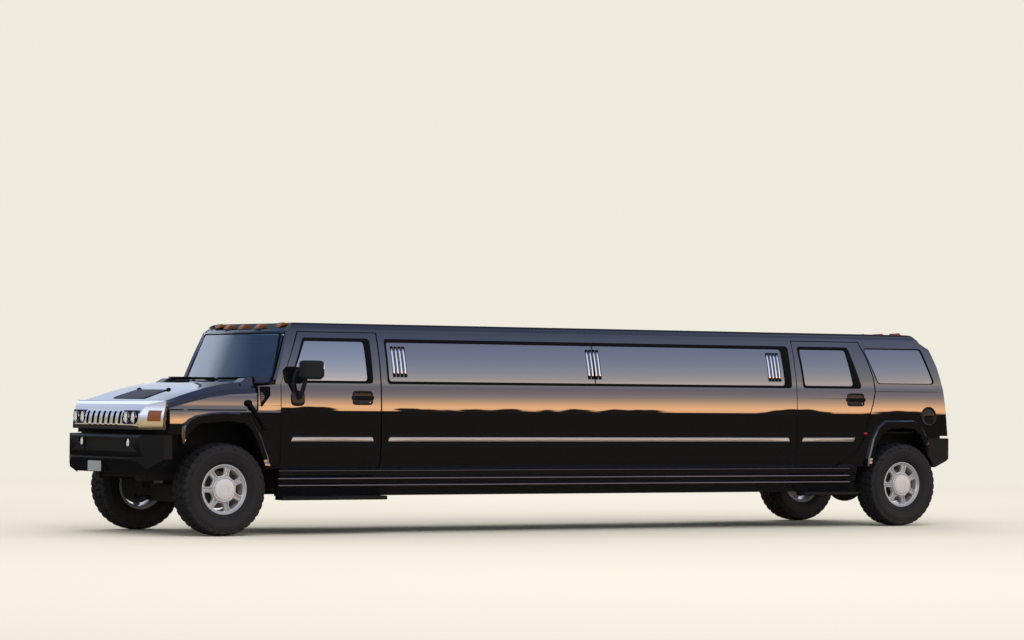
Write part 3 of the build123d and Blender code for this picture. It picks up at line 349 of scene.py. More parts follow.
def softenedNode(node, finishName, body, edge=0.004, cuts=(), reshape=None, segments=2, angle=32):
    # a copy of a CAD node with its doubles merged, flat faces joined, cut across where it bends, and soft edges
    mesh = bpy.data.meshes.new(node + "Skin")
    form = bmesh.new()
    form.from_mesh(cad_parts[node].data)
    bmesh.ops.remove_doubles(form, verts=form.verts, dist=2e-5)
    bmesh.ops.dissolve_limit(form, angle_limit=math.radians(0.6), verts=form.verts, edges=form.edges)
    for axis, places in cuts:
        direction = Vector([1.0 if k == axis else 0.0 for k in range(3)])
        for place in places:
            everything = form.verts[:] + form.edges[:] + form.faces[:]
            bmesh.ops.bisect_plane(form, geom=everything, plane_co=direction * float(place), plane_no=direction)
    if reshape is not None:
        points = np.array([v.co for v in form.verts], float)
        for vert, place in zip(form.verts, reshape(points)):
            vert.co = place
    form.to_mesh(mesh)
    form.free()
    piece = placePiece(node + "Skin", mesh, finishName, body, angle)
    if edge:
        softEdges(piece, edge, segments, angle)
        level = piece.modifiers.new("flatFacesStayFlat", "WEIGHTED_NORMAL")
        level.keep_sharp = True
    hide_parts(node)
    return piece


# ---- finishes ----

def addNode(tree, kind, values=None, **options):
    # a shader node with its options set; each input takes a value or is joined to another node's output
    node = tree.nodes.new("ShaderNode" + kind)
    for option, value in options.items():
        setattr(node, option, value)
    for socket, value in (values or {}).items():
        if isinstance(value, bpy.types.NodeSocket):
            tree.links.new(value, node.inputs[socket])
        else:
            node.inputs[socket].default_value = value
    return node


def mathNode(tree, operation, first, second, clamp=False):
    return addNode(tree, "Math", {0: first, 1: second}, operation=operation, use_clamp=clamp).outputs[0]


def makeGroup(name, inputs, outputs):
    # an empty node group; its inputs are numbers with their default values
    group = bpy.data.node_groups.new(name, "ShaderNodeTree")
    for label, value in inputs.items():
        group.interface.new_socket(name=label, in_out="INPUT", socket_type="NodeSocketFloat").default_value = value
    for label in outputs:
        group.interface.new_socket(name=label, in_out="OUTPUT", socket_type="NodeSocketFloat")
    return group, group.nodes.new("NodeGroupInput").outputs, group.nodes.new("NodeGroupOutput").inputs


def makeGrainGroup():
    # fine moulded grain: noise at a given scale drives roughness and height
    group, given, result = makeGroup("fineGrain", {"Scale": 300, "Roughness": 0.4, "Spread": 0.1},
                                     ("Roughness", "Height"))
    place = addNode(group, "TexCoord").outputs["Object"]
    noise = addNode(group, "TexNoise", {"Detail": 4, "Vector": place, "Scale": given["Scale"]}).outputs["Fac"]
    spread = mathNode(group, "MULTIPLY", mathNode(group, "SUBTRACT", noise, 0.5), given["Spread"])
    group.links.new(mathNode(group, "ADD", spread, given["Roughness"], True), result["Roughness"])
    group.links.new(noise, result["Height"])
    return group


def makeDustGroup():
    # road dust: thick near the ground, gone at the top height, broken up by noise
    group, given, result = makeGroup("roadDust", {"Top": 0.6, "Amount": 0.3, "Scale": 6}, ("Mask",))
    place = addNode(group, "TexCoord").outputs["Object"]
    height = addNode(group, "SeparateXYZ", {0: place}).outputs["Z"]
    noise = addNode(group, "TexNoise", {"Detail": 8, "Roughness": 0.65, "Vector": place, "Scale": given["Scale"]})
    low = mathNode(group, "SUBTRACT", 1.0, mathNode(group, "DIVIDE", height, given["Top"]), True)
    broken = mathNode(group, "MULTIPLY", low, noise.outputs["Fac"])
    group.links.new(mathNode(group, "MULTIPLY", broken, given["Amount"], True), result["Mask"])
    return group


grainGroup = makeGrainGroup()
dustGroup = makeDustGroup()
dustColour = (0.2, 0.17, 0.13, 1)
wornCoat = 0.08
socketNames = {"metallic": "Metallic", "ior": "IOR", "coat": "Coat Weight", "coatRough": "Coat Roughness",
               "coatIor": "Coat IOR", "transmission": "Transmission Weight", "specular": "Specular IOR Level",
               "sheen": "Sheen Weight"}


def newFinish(name, spec):
    # one Principled finish with fine grain in roughness and bump, and road dust near the ground
    material = bpy.data.materials.new(name)
    material.use_nodes = True
    tree = material.node_tree
    shader = tree.nodes["Principled BSDF"].inputs
    for key, socket in socketNames.items():
        if key in spec:
            shader[socket].default_value = spec[key]
    grain = addNode(tree, "Group", {"Scale": spec.get("grainScale", 200), "Roughness": spec["rough"],
                                    "Spread": spec.get("spread", 0.06)}, node_tree=grainGroup).outputs
    tree.links.new(grain["Roughness"], shader["Roughness"])
    if "bump" in spec:
        bump = addNode(tree, "Bump", {"Strength": spec["bump"], "Distance": spec.get("bumpDepth", 0.001),
                                      "Height": grain["Height"]})
        tree.links.new(bump.outputs["Normal"], shader["Normal"])
    dust = addNode(tree, "Group", {"Top": spec.get("dustTop", 0.6), "Amount": spec.get("dust", 0)},
                   node_tree=dustGroup).outputs["Mask"]
    mix = addNode(tree, "Mix", {"A": (*spec["colour"], 1), "B": dustColour, "Factor": dust}, data_type="RGBA")
    tree.links.new(mix.outputs["Result"], shader["Base Color"])
    if "dullTop" in spec:
        # faces that look straight up have lost most of their gloss
        facing = addNode(tree, "NewGeometry").outputs["Normal"]
        upward = addNode(tree, "SeparateXYZ", {0: facing}).outputs["Z"]
        start, end = spec["dullTop"]
        worn = addNode(tree, "MapRange", {"From Min": start, "From Max": end, "To Min": 1.0, "To Max": wornCoat,
                                          "Value": upward})
        tree.links.new(worn.outputs["Result"], shader["Coat Weight"])
    return material


finishes = {
    "glossBlackPaint": dict(colour=(0.0065, 0.0058, 0.006), rough=0.12, coat=1.0, coatRough=0.012, coatIor=2.1,
        dust=0.01, dustTop=0.8, spread=0.03, specular=0.0),
    "roofPaint": dict(colour=(0.0065, 0.0058, 0.006), rough=0.12, coat=1.0, coatRough=0.02, coatIor=2.1, spread=0.03,
        specular=0.0, dullTop=(0.8, 0.94)),
    "doorGlass": dict(colour=(0.012, 0.02, 0.024), rough=0.02, specular=0.0, coat=1.0, coatRough=0.004, coatIor=3.7,
        spread=0.01),
    "privacyGlass": dict(colour=(0.01, 0.011, 0.013), rough=0.02, specular=0.0, coat=1.0, coatRough=0.004,
        coatIor=2.8, spread=0.01),
    "windshieldGlass": dict(colour=(0.1, 0.16, 0.25), rough=0.01, transmission=1.0, ior=1.2, coat=1.0,
        coatRough=0.004, coatIor=2.1, spread=0.005),
    "clearLens": dict(colour=(0.92, 0.94, 0.95), rough=0.01, transmission=1.0, ior=1.47, spread=0.005),
    "plainChrome": dict(colour=(0.8, 0.8, 0.82), rough=0.06, metallic=1.0, spread=0.03, dust=0.04),
    "rimAlloy": dict(colour=(0.5, 0.5, 0.52), rough=0.26, metallic=0.35, coat=0.5, coatRough=0.08, spread=0.08,
        dust=0.06, dustTop=0.9),
    "capSilver": dict(colour=(0.6, 0.6, 0.62), rough=0.38, metallic=0.2, spread=0.08, dust=0.04),
    "silverStrip": dict(colour=(0.46, 0.43, 0.38), rough=0.34, metallic=0.6, grainScale=900, dust=0.02),
    "blackRubber": dict(colour=(0.004, 0.004, 0.005), rough=0.6, grainScale=700, bump=0.12, specular=0.06),
    "glossBlackTrim": dict(colour=(0.008, 0.008, 0.009), rough=0.3, coat=0.25, coatRough=0.1, dust=0.01,
        specular=0.15),
    "louvreBlack": dict(colour=(0.012, 0.014, 0.018), rough=0.4, specular=0.3),
    "mirrorShell": dict(colour=(0.014, 0.015, 0.017), rough=0.55, grainScale=1200, bump=0.2, specular=0.12),
    "grainedPlastic": dict(colour=(0.008, 0.008, 0.009), rough=0.38, grainScale=1400, bump=0.2, bumpDepth=0.0005,
        dust=0.02, dustTop=0.7, specular=0.14),
    "tyreRubber": dict(colour=(0.014, 0.014, 0.016), rough=0.58, grainScale=500, bump=0.25, dust=0.06, dustTop=0.4,
        spread=0.12, specular=0.22),
    "chassisPaint": dict(colour=(0.012, 0.012, 0.013), rough=0.6, grainScale=120, bump=0.2, dust=0.12, dustTop=0.9,
        specular=0.1),
    "castMetal": dict(colour=(0.16, 0.16, 0.165), rough=0.5, metallic=0.8, grainScale=260, bump=0.4, dust=0.4,
        dustTop=1.2),
    "exhaustSteel": dict(colour=(0.3, 0.29, 0.28), rough=0.42, metallic=0.9, grainScale=60, dust=0.4, dustTop=0.9),
    "floorCarpet": dict(colour=(0.03, 0.03, 0.034), rough=0.95, grainScale=900, bump=0.8, bumpDepth=0.003, sheen=0.3),
    "dashPlastic": dict(colour=(0.022, 0.022, 0.024), rough=0.5, grainScale=900, bump=0.4),
    "seatLeather": dict(colour=(0.026, 0.024, 0.024), rough=0.42, grainScale=420, bump=0.35, bumpDepth=0.0012,
        sheen=0.12),
    "amberLens": dict(colour=(0.2, 0.06, 0.012), rough=0.2, coat=0.35, specular=0.2, coatRough=0.02, grainScale=160,
        bump=0.3),
    "redLens": dict(colour=(0.26, 0.01, 0.01), rough=0.2, coat=0.35, specular=0.2, coatRough=0.02, grainScale=160,
        bump=0.3),
    "bulbGlass": dict(colour=(0.75, 0.8, 0.88), rough=0.15, coat=1.0),
    "mirrorSilver": dict(colour=(0.85, 0.87, 0.88), rough=0.02, metallic=1.0, spread=0.005),
    "blankPlate": dict(colour=(0.3, 0.32, 0.36), rough=0.4, grainScale=300, dust=0.2, dustTop=1.4),
}
finish = {name: newFinish(name, spec) for name, spec in finishes.items()}
print("finishes made:", len(finish))

# ---- CAD nodes that show as they are get their finish here ----

plainNodes = {
    "chassisPaint": ("frame_rails", "frame_crossmembers", "rear_axle", "front_suspension", "driveline",
                     "wheel_housings", "radiator_support"),
    "floorCarpet": ("floor",),
    "grainedPlastic": ("fuel_tank",),
    "castMetal": ("engine", "knuckle_left", "knuckle_right"),
    "exhaustSteel": ("exhaust",),
    "windshieldGlass": ("windshield",),
}
for finishName, nodeNames in plainNodes.items():
    for nodeName in nodeNames:
        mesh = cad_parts[nodeName].data
        mesh.materials.clear()
        mesh.materials.append(finish[finishName])

# ---- painted panels, glass and bumpers ----

panelCuts = [(2, np.concatenate([np.linspace(0.66, 0.94, 9), np.linspace(1.0, 1.18, 4), np.linspace(1.2, 1.47, 19),
                                 np.linspace(1.49, 1.96, 22)]))]
sidePanels = {"mid_sides": "body", "quarter_panels": "body", "front_fenders": "body"}
sidePanes = {"side_glass": "body"}
for row in ("front", "rear"):
    for hand, side in hands:
        sidePanels[f"door_{row}_{hand}"] = f"door_{row}_{hand}"
        sidePanes[f"door_glass_{row}_{hand}"] = f"door_{row}_{hand}"
for nodeName, bodyName in sidePanels.items():
    softenedNode(nodeName, "glossBlackPaint", bodyName, 0.004, panelCuts, curveSides)
for nodeName, bodyName in sidePanes.items():
    pane = "doorGlass" if "door_glass_front" in nodeName else "privacyGlass"
    softenedNode(nodeName, pane, bodyName, 0, panelCuts, curveSides)
roofCuts = [(1, np.concatenate([-roofCurved[:0:-1, 0], roofCurved[:, 0]])), (2, (1.969, 1.985, 2.0))]
softenedNode("roof", "roofPaint", "body", 0.006, roofCuts, curveRoof)
softenedNode("cowl", "glossBlackPaint", "body", 0.008, panelCuts, curveSides)
softenedNode("sills", "glossBlackPaint", "body", 0.006)
softenedNode("hood", "glossBlackPaint", "hood", 0.012,
             [(2, np.linspace(1.21, 1.41, 15))], curveHood, segments=3, angle=14)
tailCuts = [(2, np.linspace(0.98, 1.89, 32))]
softenedNode("tailgate", "glossBlackPaint", "tailgate", 0.006, tailCuts, curveTail)
softenedNode("tailgate_glass", "privacyGlass", "tailgate", 0, tailCuts, curveTail)
fasciaCuts = [(2, np.concatenate([np.linspace(1.02, 1.18, 17), (1.212, 1.231)]))]
softenedNode("grille", "plainChrome", "body", 0.005, fasciaCuts, curveFascia, segments=3)
softenedNode("front_bumper", "grainedPlastic", "body", 0.012, segments=3)
softenedNode("rear_bumper", "grainedPlastic", "body", 0.012, segments=3)
softenedNode("step_boards", "grainedPlastic", "body", 0.008, segments=3)
softenedNode("amber_lamps", "amberLens", "body", 0.005, fasciaCuts, curveFascia, segments=3)
softenedNode("red_lamps", "redLens", "body", 0.005, segments=3)
softenedNode("dashboard", "dashPlastic", "body", 0.01, segments=3)
print("panels softened")

# ---- tyres ----

tyreShape = {
    "around": 576, "lugs": 36, "grooveDepth": 0.013, "radius": 0.444, "crown": 0.01, "treadHalf": 0.127,
    "treadEdge": 0.4295, "shoulderFoot": 0.384, "blockFoot": 0.412, "longerBy": 0.022, "sink": 0.0055,
    # blocks from the outside in: where the row starts, turn, slant and share; grooves: place, half width
    "blocks": [(0.0845, 0.0, 1.5, 0.66), (0.0265, 0.42, -6.0, 0.68), (-1, 0.15, 14.0, 0.7)],
    "grooves": [(0.084, 0.004), (0.0265, 0.0035)],
    # radius and half width from the bead over the side wall to the shoulder, then the tread's own stops
    "wall": [(0.2265, 0.102), (0.235, 0.112), (0.243, 0.119), (0.252, 0.125), (0.26, 0.13), (0.266, 0.133),
             (0.27, 0.135), (0.274, 0.14), (0.28, 0.1412), (0.285, 0.1385), (0.3, 0.144), (0.32, 0.147),
             (0.34, 0.1488), (0.348, 0.1492), (0.35, 0.15), (0.356, 0.15), (0.358, 0.1488), (0.37, 0.148),
             (0.382, 0.1466), (0.386, 0.1475), (0.396, 0.1468), (0.408, 0.1446), (0.419, 0.1408), (0.429, 0.1345)],
    "tread": [0.127, 0.118, 0.108, 0.098, 0.093, 0.09, 0.087, 0.081, 0.078, 0.075, 0.069, 0.06, 0.05, 0.04, 0.035,
              0.032, 0.029, 0.024, 0.021, 0.018, 0.012, 0.006, 0.0],
}


def blockWave(phase, share, edge):
    # 1 inside a block that takes up its share of each turn of phase, 0 in the gap, with sloping flanks
    place = np.abs(np.mod(phase, 1.0) - 0.5)
    return np.clip((share / 2 - place) / edge + 0.5, 0, 1)


def tyreForm(centre):
    shape = tyreShape
    # crown: r = R - crown (y / half width)^2.4
    tread = np.array(shape["tread"])
    crown = shape["radius"] - shape["crown"] * (tread / shape["treadHalf"]) ** 2.4
    half = np.concatenate([shape["wall"], np.stack([crown, tread], -1)])
    section = np.concatenate([half, half[-2::-1] * (1, -1)])
    radius, across = section[:, 0][None, :], section[:, 1][None, :]
    turn = np.linspace(0, 2 * np.pi, shape["around"], endpoint=False)[:, None]
    count = shape["lugs"] * turn / (2 * np.pi)
    reach = np.abs(across)
    shift = np.where(across > 0, 0.0, 0.5)
    phase = count + shift
    rows = [blockWave(phase + start + reach * slant, share, 0.05) for _, start, slant, share in shape["blocks"]]
    outer = rows[0]
    lug = np.select([reach > shape["blocks"][0][0], reach > shape["blocks"][1][0]], rows[:2], rows[2])
    for place, halfWidth in shape["grooves"]:
        lug = np.where(np.abs(reach - place) < halfWidth, 0.0, lug)
    drop = np.where(radius > shape["treadEdge"], (1 - lug) * shape["grooveDepth"], 0.0)
    # the shoulder blocks run down the wall as far as r = 0.390, every other one shorter
    long = blockWave(count / 2 + shift + 0.22, 0.34, 0.025)
    onShoulder = (radius <= shape["treadEdge"]) & (radius > shape["shoulderFoot"])
    stand = np.where(onShoulder & (radius > shape["blockFoot"] - shape["longerBy"] * long), outer, 0.0)
    sink = np.where(onShoulder, (1 - stand) * shape["sink"], 0.0)
    radius = radius - drop - np.where(onShoulder, 0.4 * sink, 0.0)
    across = across - np.sign(across) * sink
    points = np.stack([centre[0] + radius * np.cos(turn), centre[1] + across + 0 * turn,
                       centre[2] + radius * np.sin(turn)], -1)
    return points.reshape(-1, 3), gridFaces(shape["around"], section.shape[0], True, True)


# ---- rims: drop-centre barrel, seven paired-rib spokes, capped hub, brake disc ----

rimBarrel = [(0.242, 0.108), (0.2425, 0.114), (0.2395, 0.1185), (0.234, 0.12), (0.229, 0.118), (0.2265, 0.113),
             (0.224, 0.106), (0.2165, 0.103), (0.212, 0.0985), (0.21, 0.08), (0.206, 0.06), (0.201, 0.03),
             (0.2, -0.06), (0.208, -0.1), (0.228, -0.112), (0.234, -0.118), (0.24, -0.117), (0.242, -0.108),
             (0.2225, -0.102), (0.2225, 0.102)]
rimHub = [(0.0, 0.115), (0.1, 0.115), (0.112, 0.119), (0.119, 0.118), (0.1225, 0.115), (0.124, 0.109),
          (0.124, 0.09), (0.0, 0.09)]
rimCap = [(0.0, 0.1335), (0.033, 0.1335), (0.035, 0.1315), (0.0385, 0.1315), (0.0405, 0.1335), (0.088, 0.1325),
          (0.098, 0.1305), (0.103, 0.127), (0.105, 0.122), (0.105, 0.112), (0.0, 0.112)]
brakeDisc = [(0.0, 0.02), (0.09, 0.02), (0.095, 0.016), (0.095, -0.01), (0.1, -0.014), (0.178, -0.014),
             (0.18, -0.016), (0.18, -0.038), (0.178, -0.04), (0.0, -0.04)]
spokeShape = {"count": 7, "inner": 0.112, "outer": 0.2165, "front": 0.0985, "thickness": 0.034,
              "halfWidth": 0.0275, "flare": 0.016, "windowInner": 0.133, "windowOuter": 0.208,
              "rib": (0.0045, 0.0205, 0.005), "trough": (0.015, 0.0155, 0.0045), "lip": (0.003, 0.0245, 0.003),
              "run": (0.172, 0.04, 0.008)}


def spokeForm(centre):
    # each sector is gridded so that the spoke's flank falls on a grid line: s = w(r) u for u <= 1
    perSide, columns, rows = 9, 6, 26
    count = spokeShape["count"]
    radius = np.linspace(spokeShape["inner"], spokeShape["outer"], rows)
    radius[np.argmin(np.abs(radius - spokeShape["windowInner"]))] = spokeShape["windowInner"]
    radius[np.argmin(np.abs(radius - spokeShape["windowOuter"]))] = spokeShape["windowOuter"]
    middle = (spokeShape["windowInner"] + spokeShape["windowOuter"]) / 2
    reach = (spokeShape["windowOuter"] - spokeShape["windowInner"]) / 2
    # w(r) = w0 + flare |(r - middle) / reach|^5 widens each spoke where it meets hub and ring
    width = spokeShape["halfWidth"] + spokeShape["flare"] * np.clip(np.abs((radius - middle) / reach), 0, 1.05) ** 5
    flank = np.arcsin(width / radius)
    sector = np.pi / count
    onSpoke = np.linspace(0, 1, perSide)[None, :] * flank[:, None]
    inGap = flank[:, None] + np.linspace(0, 1, columns)[None, 1:] * (sector - flank[:, None])
    halfTurn = np.concatenate([onSpoke, inGap], 1)
    turnOne = np.concatenate([-halfTurn[:, :0:-1], halfTurn[:, :-1]], 1)
    perSector = turnOne.shape[1]
    turn = np.concatenate([turnOne + 2 * sector * k for k in range(count)], 1)
    sway = np.tile(turnOne, (1, count))
    side = np.abs(radius[:, None] * np.sin(sway))
    # front height: ribs 4.5 mm proud along both flanks, a trough 15 mm deep between them, a lip 3 mm down
    height, place, spread = spokeShape["rib"]
    rib = height * np.exp(-((side - place) / spread) ** 2)
    middle, half, slope = spokeShape["run"]
    along = np.clip((half - np.abs(radius - middle)) / slope, 0, 1)[:, None]
    depth, place, slope = spokeShape["trough"]
    trough = depth * along * np.clip((place - side) / slope, 0, 1)
    depth, place, slope = spokeShape["lip"]
    lip = depth * np.clip((side - place) / slope, 0, 1)
    front = spokeShape["front"] + rib - trough - lip * along
    back = np.full_like(front, spokeShape["front"] - spokeShape["thickness"])
    cell = np.arange(perSector)
    inWindow = np.tile((cell < columns - 1) | (cell >= perSector - columns + 1), count)
    rowMiddle = (radius[:-1] + radius[1:]) / 2
    rowOpen = (rowMiddle > spokeShape["windowInner"]) & (rowMiddle < spokeShape["windowOuter"])
    total = turn.shape[1]

    def sheet(height):
        return np.stack([centre[0] + radius[:, None] * np.cos(turn), centre[1] + height,
                         centre[2] + radius[:, None] * np.sin(turn)], -1).reshape(-1, 3)

    cells = gridFaces(rows, total, False, True).reshape(rows - 1, total, 4)
    kept = ~(rowOpen[:, None] & inWindow[None])
    layer = rows * total
    faces = cells[kept].tolist() + (cells[kept][:, ::-1] + layer).tolist()
    # walls wherever a kept cell borders an open one or the inner and outer rims
    for corner, (dRow, dCol) in ((0, (0, -1)), (1, (1, 0)), (2, (0, 1)), (3, (-1, 0))):
        near = np.roll(kept, -dCol, axis=1) if dCol else np.zeros_like(kept)
        if dRow == 1:
            near[:-1] = kept[1:]
        if dRow == -1:
            near[1:] = kept[:-1]
        edge = cells[kept & ~near]
        first, second = edge[:, corner], edge[:, (corner + 1) % 4]
        faces += np.stack([second, first, first + layer, second + layer], -1).tolist()
    return np.concatenate([sheet(front), sheet(back)]), faces


def domeForm(centre, direction, radius, height, steps=16, rings=5):
    # a shallow dome with a flat back: rise = height cos(t), reach = radius sin(t)
    direction = np.asarray(direction, float) / np.linalg.norm(direction)
    across = np.cross(direction, (0.0, 0.0, 1.0) if abs(direction[2]) < 0.9 else (1.0, 0.0, 0.0))
    across /= np.linalg.norm(across)
    up = np.cross(across, direction)
    t = np.linspace(0, np.pi / 2, rings)[:, None]
    turn = np.linspace(0, 2 * np.pi, steps, endpoint=False)[None, :]
    points = (np.asarray(centre, float) + direction * (height * np.cos(t) + 0 * turn)[..., None]
              + across * (radius * np.sin(t) * np.cos(turn))[..., None]
              + up * (radius * np.sin(t) * np.sin(turn))[..., None])
    faces = gridFaces(rings, steps, False, True).tolist()
    faces.append([(rings - 1) * steps + k for k in range(steps)])
    return points.reshape(-1, 3), faces


boltCircle = {"radius": 0.2245, "stand": 0.103, "size": 0.0055, "rise": 0.004}
for row, along in (("front", frontAxle), ("rear", frontAxle - wheelbase)):
    for hand, side in hands:
        bodyName = f"wheel_{row}_{hand}"
        hub = (along, wheelSide, hubHeight)
        tyre = addPiece(f"tyreTread_{row}_{hand}", flipped(tyreForm(hub), side), "tyreRubber", bodyName, 24)
        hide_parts(f"tyre_{row}_{hand}")
        rimForm = mergeForms([turnedForm(rimBarrel, hub, 140), spokeForm(hub), turnedForm(rimHub, hub, 96, False)])
        rim = addPiece(f"spokedRim_{row}_{hand}", flipped(rimForm, side), "rimAlloy", bodyName, 28)
        softEdges(rim, 0.0012, 2, 40)
        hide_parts(f"rim_{row}_{hand}")
        turns = np.arange(spokeShape["count"]) * 2 * np.pi / spokeShape["count"]
        bolts = [domeForm((along + boltCircle["radius"] * math.cos(t), wheelSide + boltCircle["stand"],
                           hubHeight + boltCircle["radius"] * math.sin(t)), (0, 1, 0), boltCircle["size"],
                          boltCircle["rise"], 8, 3) for t in turns]
        addPiece(f"rimBolts_{row}_{hand}", flipped(mergeForms(bolts), side), "plainChrome", bodyName)
        cap = turnedForm(rimCap, hub, 96, False)
        addPiece(f"hubCap_{row}_{hand}", flipped(cap, side), "capSilver", bodyName, 28)
        disc = turnedForm(brakeDisc, hub, 64, False)
        addPiece(f"brakeDisc_{row}_{hand}", flipped(disc, side), "castMetal", bodyName)
print("wheels built")

# ---- side windows: black reveals, partly painted shade, seam, chrome bars with painted shadows ----

# each window: corners of the glass that shows, then of the black surround, a rubber gasket widened at the top and rear
# edge into painted shade of the recess (stations aft of the front axle, heights)
sideWindows = {
    "front": ([(0.908, 1.878), (1.566, 1.878), (1.576, 1.492), (0.722, 1.492)],
              [(0.89, 1.908), (1.636, 1.908), (1.636, 1.466), (0.7, 1.466)], "door_front_{}"),
    "middle": ([(1.818, 1.876), (6.636, 1.876), (6.65, 1.492), (1.818, 1.492)],
               [(1.796, 1.908), (6.735, 1.908), (6.735, 1.464), (1.796, 1.464)], "body"),
    "rear": ([(6.88, 1.878), (7.492, 1.878), (7.555, 1.494), (6.905, 1.494)],
             [(6.852, 1.908), (7.53, 1.908), (7.668, 1.466), (6.882, 1.466)], "door_rear_{}"),
    "quarter": ([(7.739, 1.896), (8.516, 1.896), (8.65, 1.529), (7.89, 1.529)],
                [(7.731, 1.904), (8.524, 1.904), (8.66, 1.52), (7.881, 1.52)], "body"),
}
revealShape = {"depth": 0.024, "stand": 0.0035, "perEdge": 10, "arc": 6, "inner": 0.036, "outer": 0.04}


def windowLoop(corners, radius):
    # rounded outline with the same number of points whatever its corners, so loops pair up
    arcs = roundedOutline(np.asarray(corners, float), radius, revealShape["arc"]).reshape(4, -1, 2)
    loop = []
    for k in range(4):
        start, end = arcs[k][-1], arcs[(k + 1) % 4][0]
        t = np.linspace(0, 1, revealShape["perEdge"] + 2)[1:-1, None]
        loop += [arcs[k], start + (end - start) * t]
    return np.concatenate(loop)


def revealForm(inner, outer, side):
    # rings from deep inside the opening, out over a small lip, to a thin outer edge
    first, last = windowLoop(inner, revealShape["inner"]), windowLoop(outer, revealShape["outer"])
    rings = []
    for share, lift in ((0, -revealShape["depth"]), (0, -0.002), (0.06, revealShape["stand"]),
                        (0.85, revealShape["stand"]), (0.97, 0.002), (1.0, -0.001), (0.3, -revealShape["depth"])):
        loop = first + (last - first) * share
        rings.append(sidePoint(loop[:, 0], loop[:, 1], lift, side))
    points = np.stack(rings)
    return points.reshape(-1, 3), gridFaces(len(rings), points.shape[1], True, True)


seamShape = {"aft": 4.25, "lift": -0.006, "run": (1.49, 1.896), "half": 0.004, "low": -0.004, "high": 0.002}
for hand, side in hands:
    for windowName, (inner, outer, bodyPattern) in sideWindows.items():
        # the black band is partly the real rubber gasket and partly painted shade, widest where the recess would lie
        # in shade
        addPiece(f"windowReveal_{windowName}_{hand}", revealForm(inner, outer, side), "blackRubber",
                 bodyPattern.format(hand), 40)
    seamZ = np.linspace(*seamShape["run"], 12)
    half, low, high = seamShape["half"], seamShape["low"], seamShape["high"]
    seam = runTrim(sidePoint(seamShape["aft"], seamZ, seamShape["lift"], side), (1, 0, 0), sideOutward(seamZ, side),
                   [(-half, low), (half, low), (half, high), (-half, high)])
    addPiece(f"glassSeam_{hand}", seam, "blackRubber", "body")

barGroups = {"forward": (1.873, 1.877), "middle": (4.169, 4.175), "aft": (6.444, 6.45)}
barShape = {"count": 4, "pitch": 0.043, "width": 0.019, "height": 0.015, "top": 1.82, "foot": 1.549,
            "lift": 0.0005}


def barForm(topAft, footAft, side):
    # a half-round bar with tapered, rounded ends
    t = np.linspace(0, 1, 16)
    z = barShape["top"] + (barShape["foot"] - barShape["top"]) * t
    aft = topAft + (footAft - topAft) * t
    grow = np.clip(np.minimum(t, 1 - t) / 0.06, 0, 1) ** 0.5
    section = ovalProfile(1.0, 1.0, 12, 2.4)
    path = sidePoint(aft, z, barShape["lift"], side)
    outward = sideOutward(z, side)
    points = (path[:, None] + np.array([1.0, 0, 0]) * (section[None, :, :1] * barShape["width"] * grow[:, None, None])
              + outward[:, None] * (section[None, :, 1:] * barShape["height"] * grow[:, None, None]))
    faces = gridFaces(len(t), len(section), False, True).tolist()
    return points.reshape(-1, 3), faces


for hand, side in hands:
    for groupName, (topAft, footAft) in barGroups.items():
        places = [k * barShape["pitch"] for k in range(barShape["count"])]
        bars = mergeForms([barForm(topAft + k, footAft + k, side) for k in places])
        addPiece(f"windowBars_{groupName}_{hand}", bars, "plainChrome", "body")
        # a dark strip a little aft of each bar, just under its face: painted shadow of the bar on the glass
        z = np.linspace(barShape["top"] + 0.014, barShape["foot"] - 0.014, 12)
        lean = (z - barShape["top"]) / (barShape["foot"] - barShape["top"]) * (footAft - topAft)
        barShadows = [runTrim(sidePoint(topAft + k + 0.007 + lean, z, -0.002, side), (1, 0, 0), sideOutward(z, side),
                        ovalProfile(0.03, 0.009, 8, 4.0)) for k in places]
        addPiece(f"barShadow_{groupName}_{hand}", mergeForms(barShadows), "blackRubber", "body")
print("window trim built")

# ---- rub strips, handles, filler cap, side markers ----

stripRuns = {"doorFront": (0.717, 1.641, "door_front_{}"), "middle": (1.799, 6.7, "body"),
             "doorRear": (6.857, 7.562, "door_rear_{}")}
stripShape = {"foot": 0.902, "top": 0.946, "stand": 0.0085, "slant": 0.022, "nose": 0.012, "span": 0.25,
              "beforeArch": 7.0}


def stripForm(start, end, side):
    # a shallow crowned strip, its ends cut at a slant: aft = end -+ slant (z - foot) / height;
    # the last one's rear end leans the other way, along the wheel arch
    z = np.linspace(stripShape["foot"], stripShape["top"], 9)
    u = np.linspace(-1, 1, 9)
    lift = stripShape["stand"] * np.clip(1 - np.abs(u) ** 5, 0, 1)
    share = (z - z[0]) / (z[-1] - z[0])
    stations = np.linspace(0, 1, max(4, int((end - start) / stripShape["span"])))
    low = start + stripShape["slant"] * share
    high = end - stripShape["slant"] * (1 - share if end > stripShape["beforeArch"] else share)
    nose = stripShape["nose"] / (end - start)
    stations = np.concatenate([[0.0], [nose], stations[1:-1], [1 - nose], [1.0]])
    aft = low[None] + (high - low)[None] * stations[:, None]
    endDrop = np.ones(len(stations))
    endDrop[[0, -1]] = 0.0
    front = sidePoint(aft, z[None] + 0 * aft, lift[None] * endDrop[:, None], side)
    back = sidePoint(aft, z[None] + 0 * aft, -0.004, side)
    return cappedRings(np.concatenate([front, back[:, ::-1]], axis=1))


def plaqueForm(onSurface, along, z, width, height, profile, power=3.2, count=48):
    # rings of a superellipse about one spot of a surface, each given by its (inset, lift)
    u, v = ovalProfile(2, 2, count, power).T
    return cappedRings([onSurface(along + u * (width / 2 - inset), z + v * (height / 2 - inset), lift)
                        for inset, lift in profile])


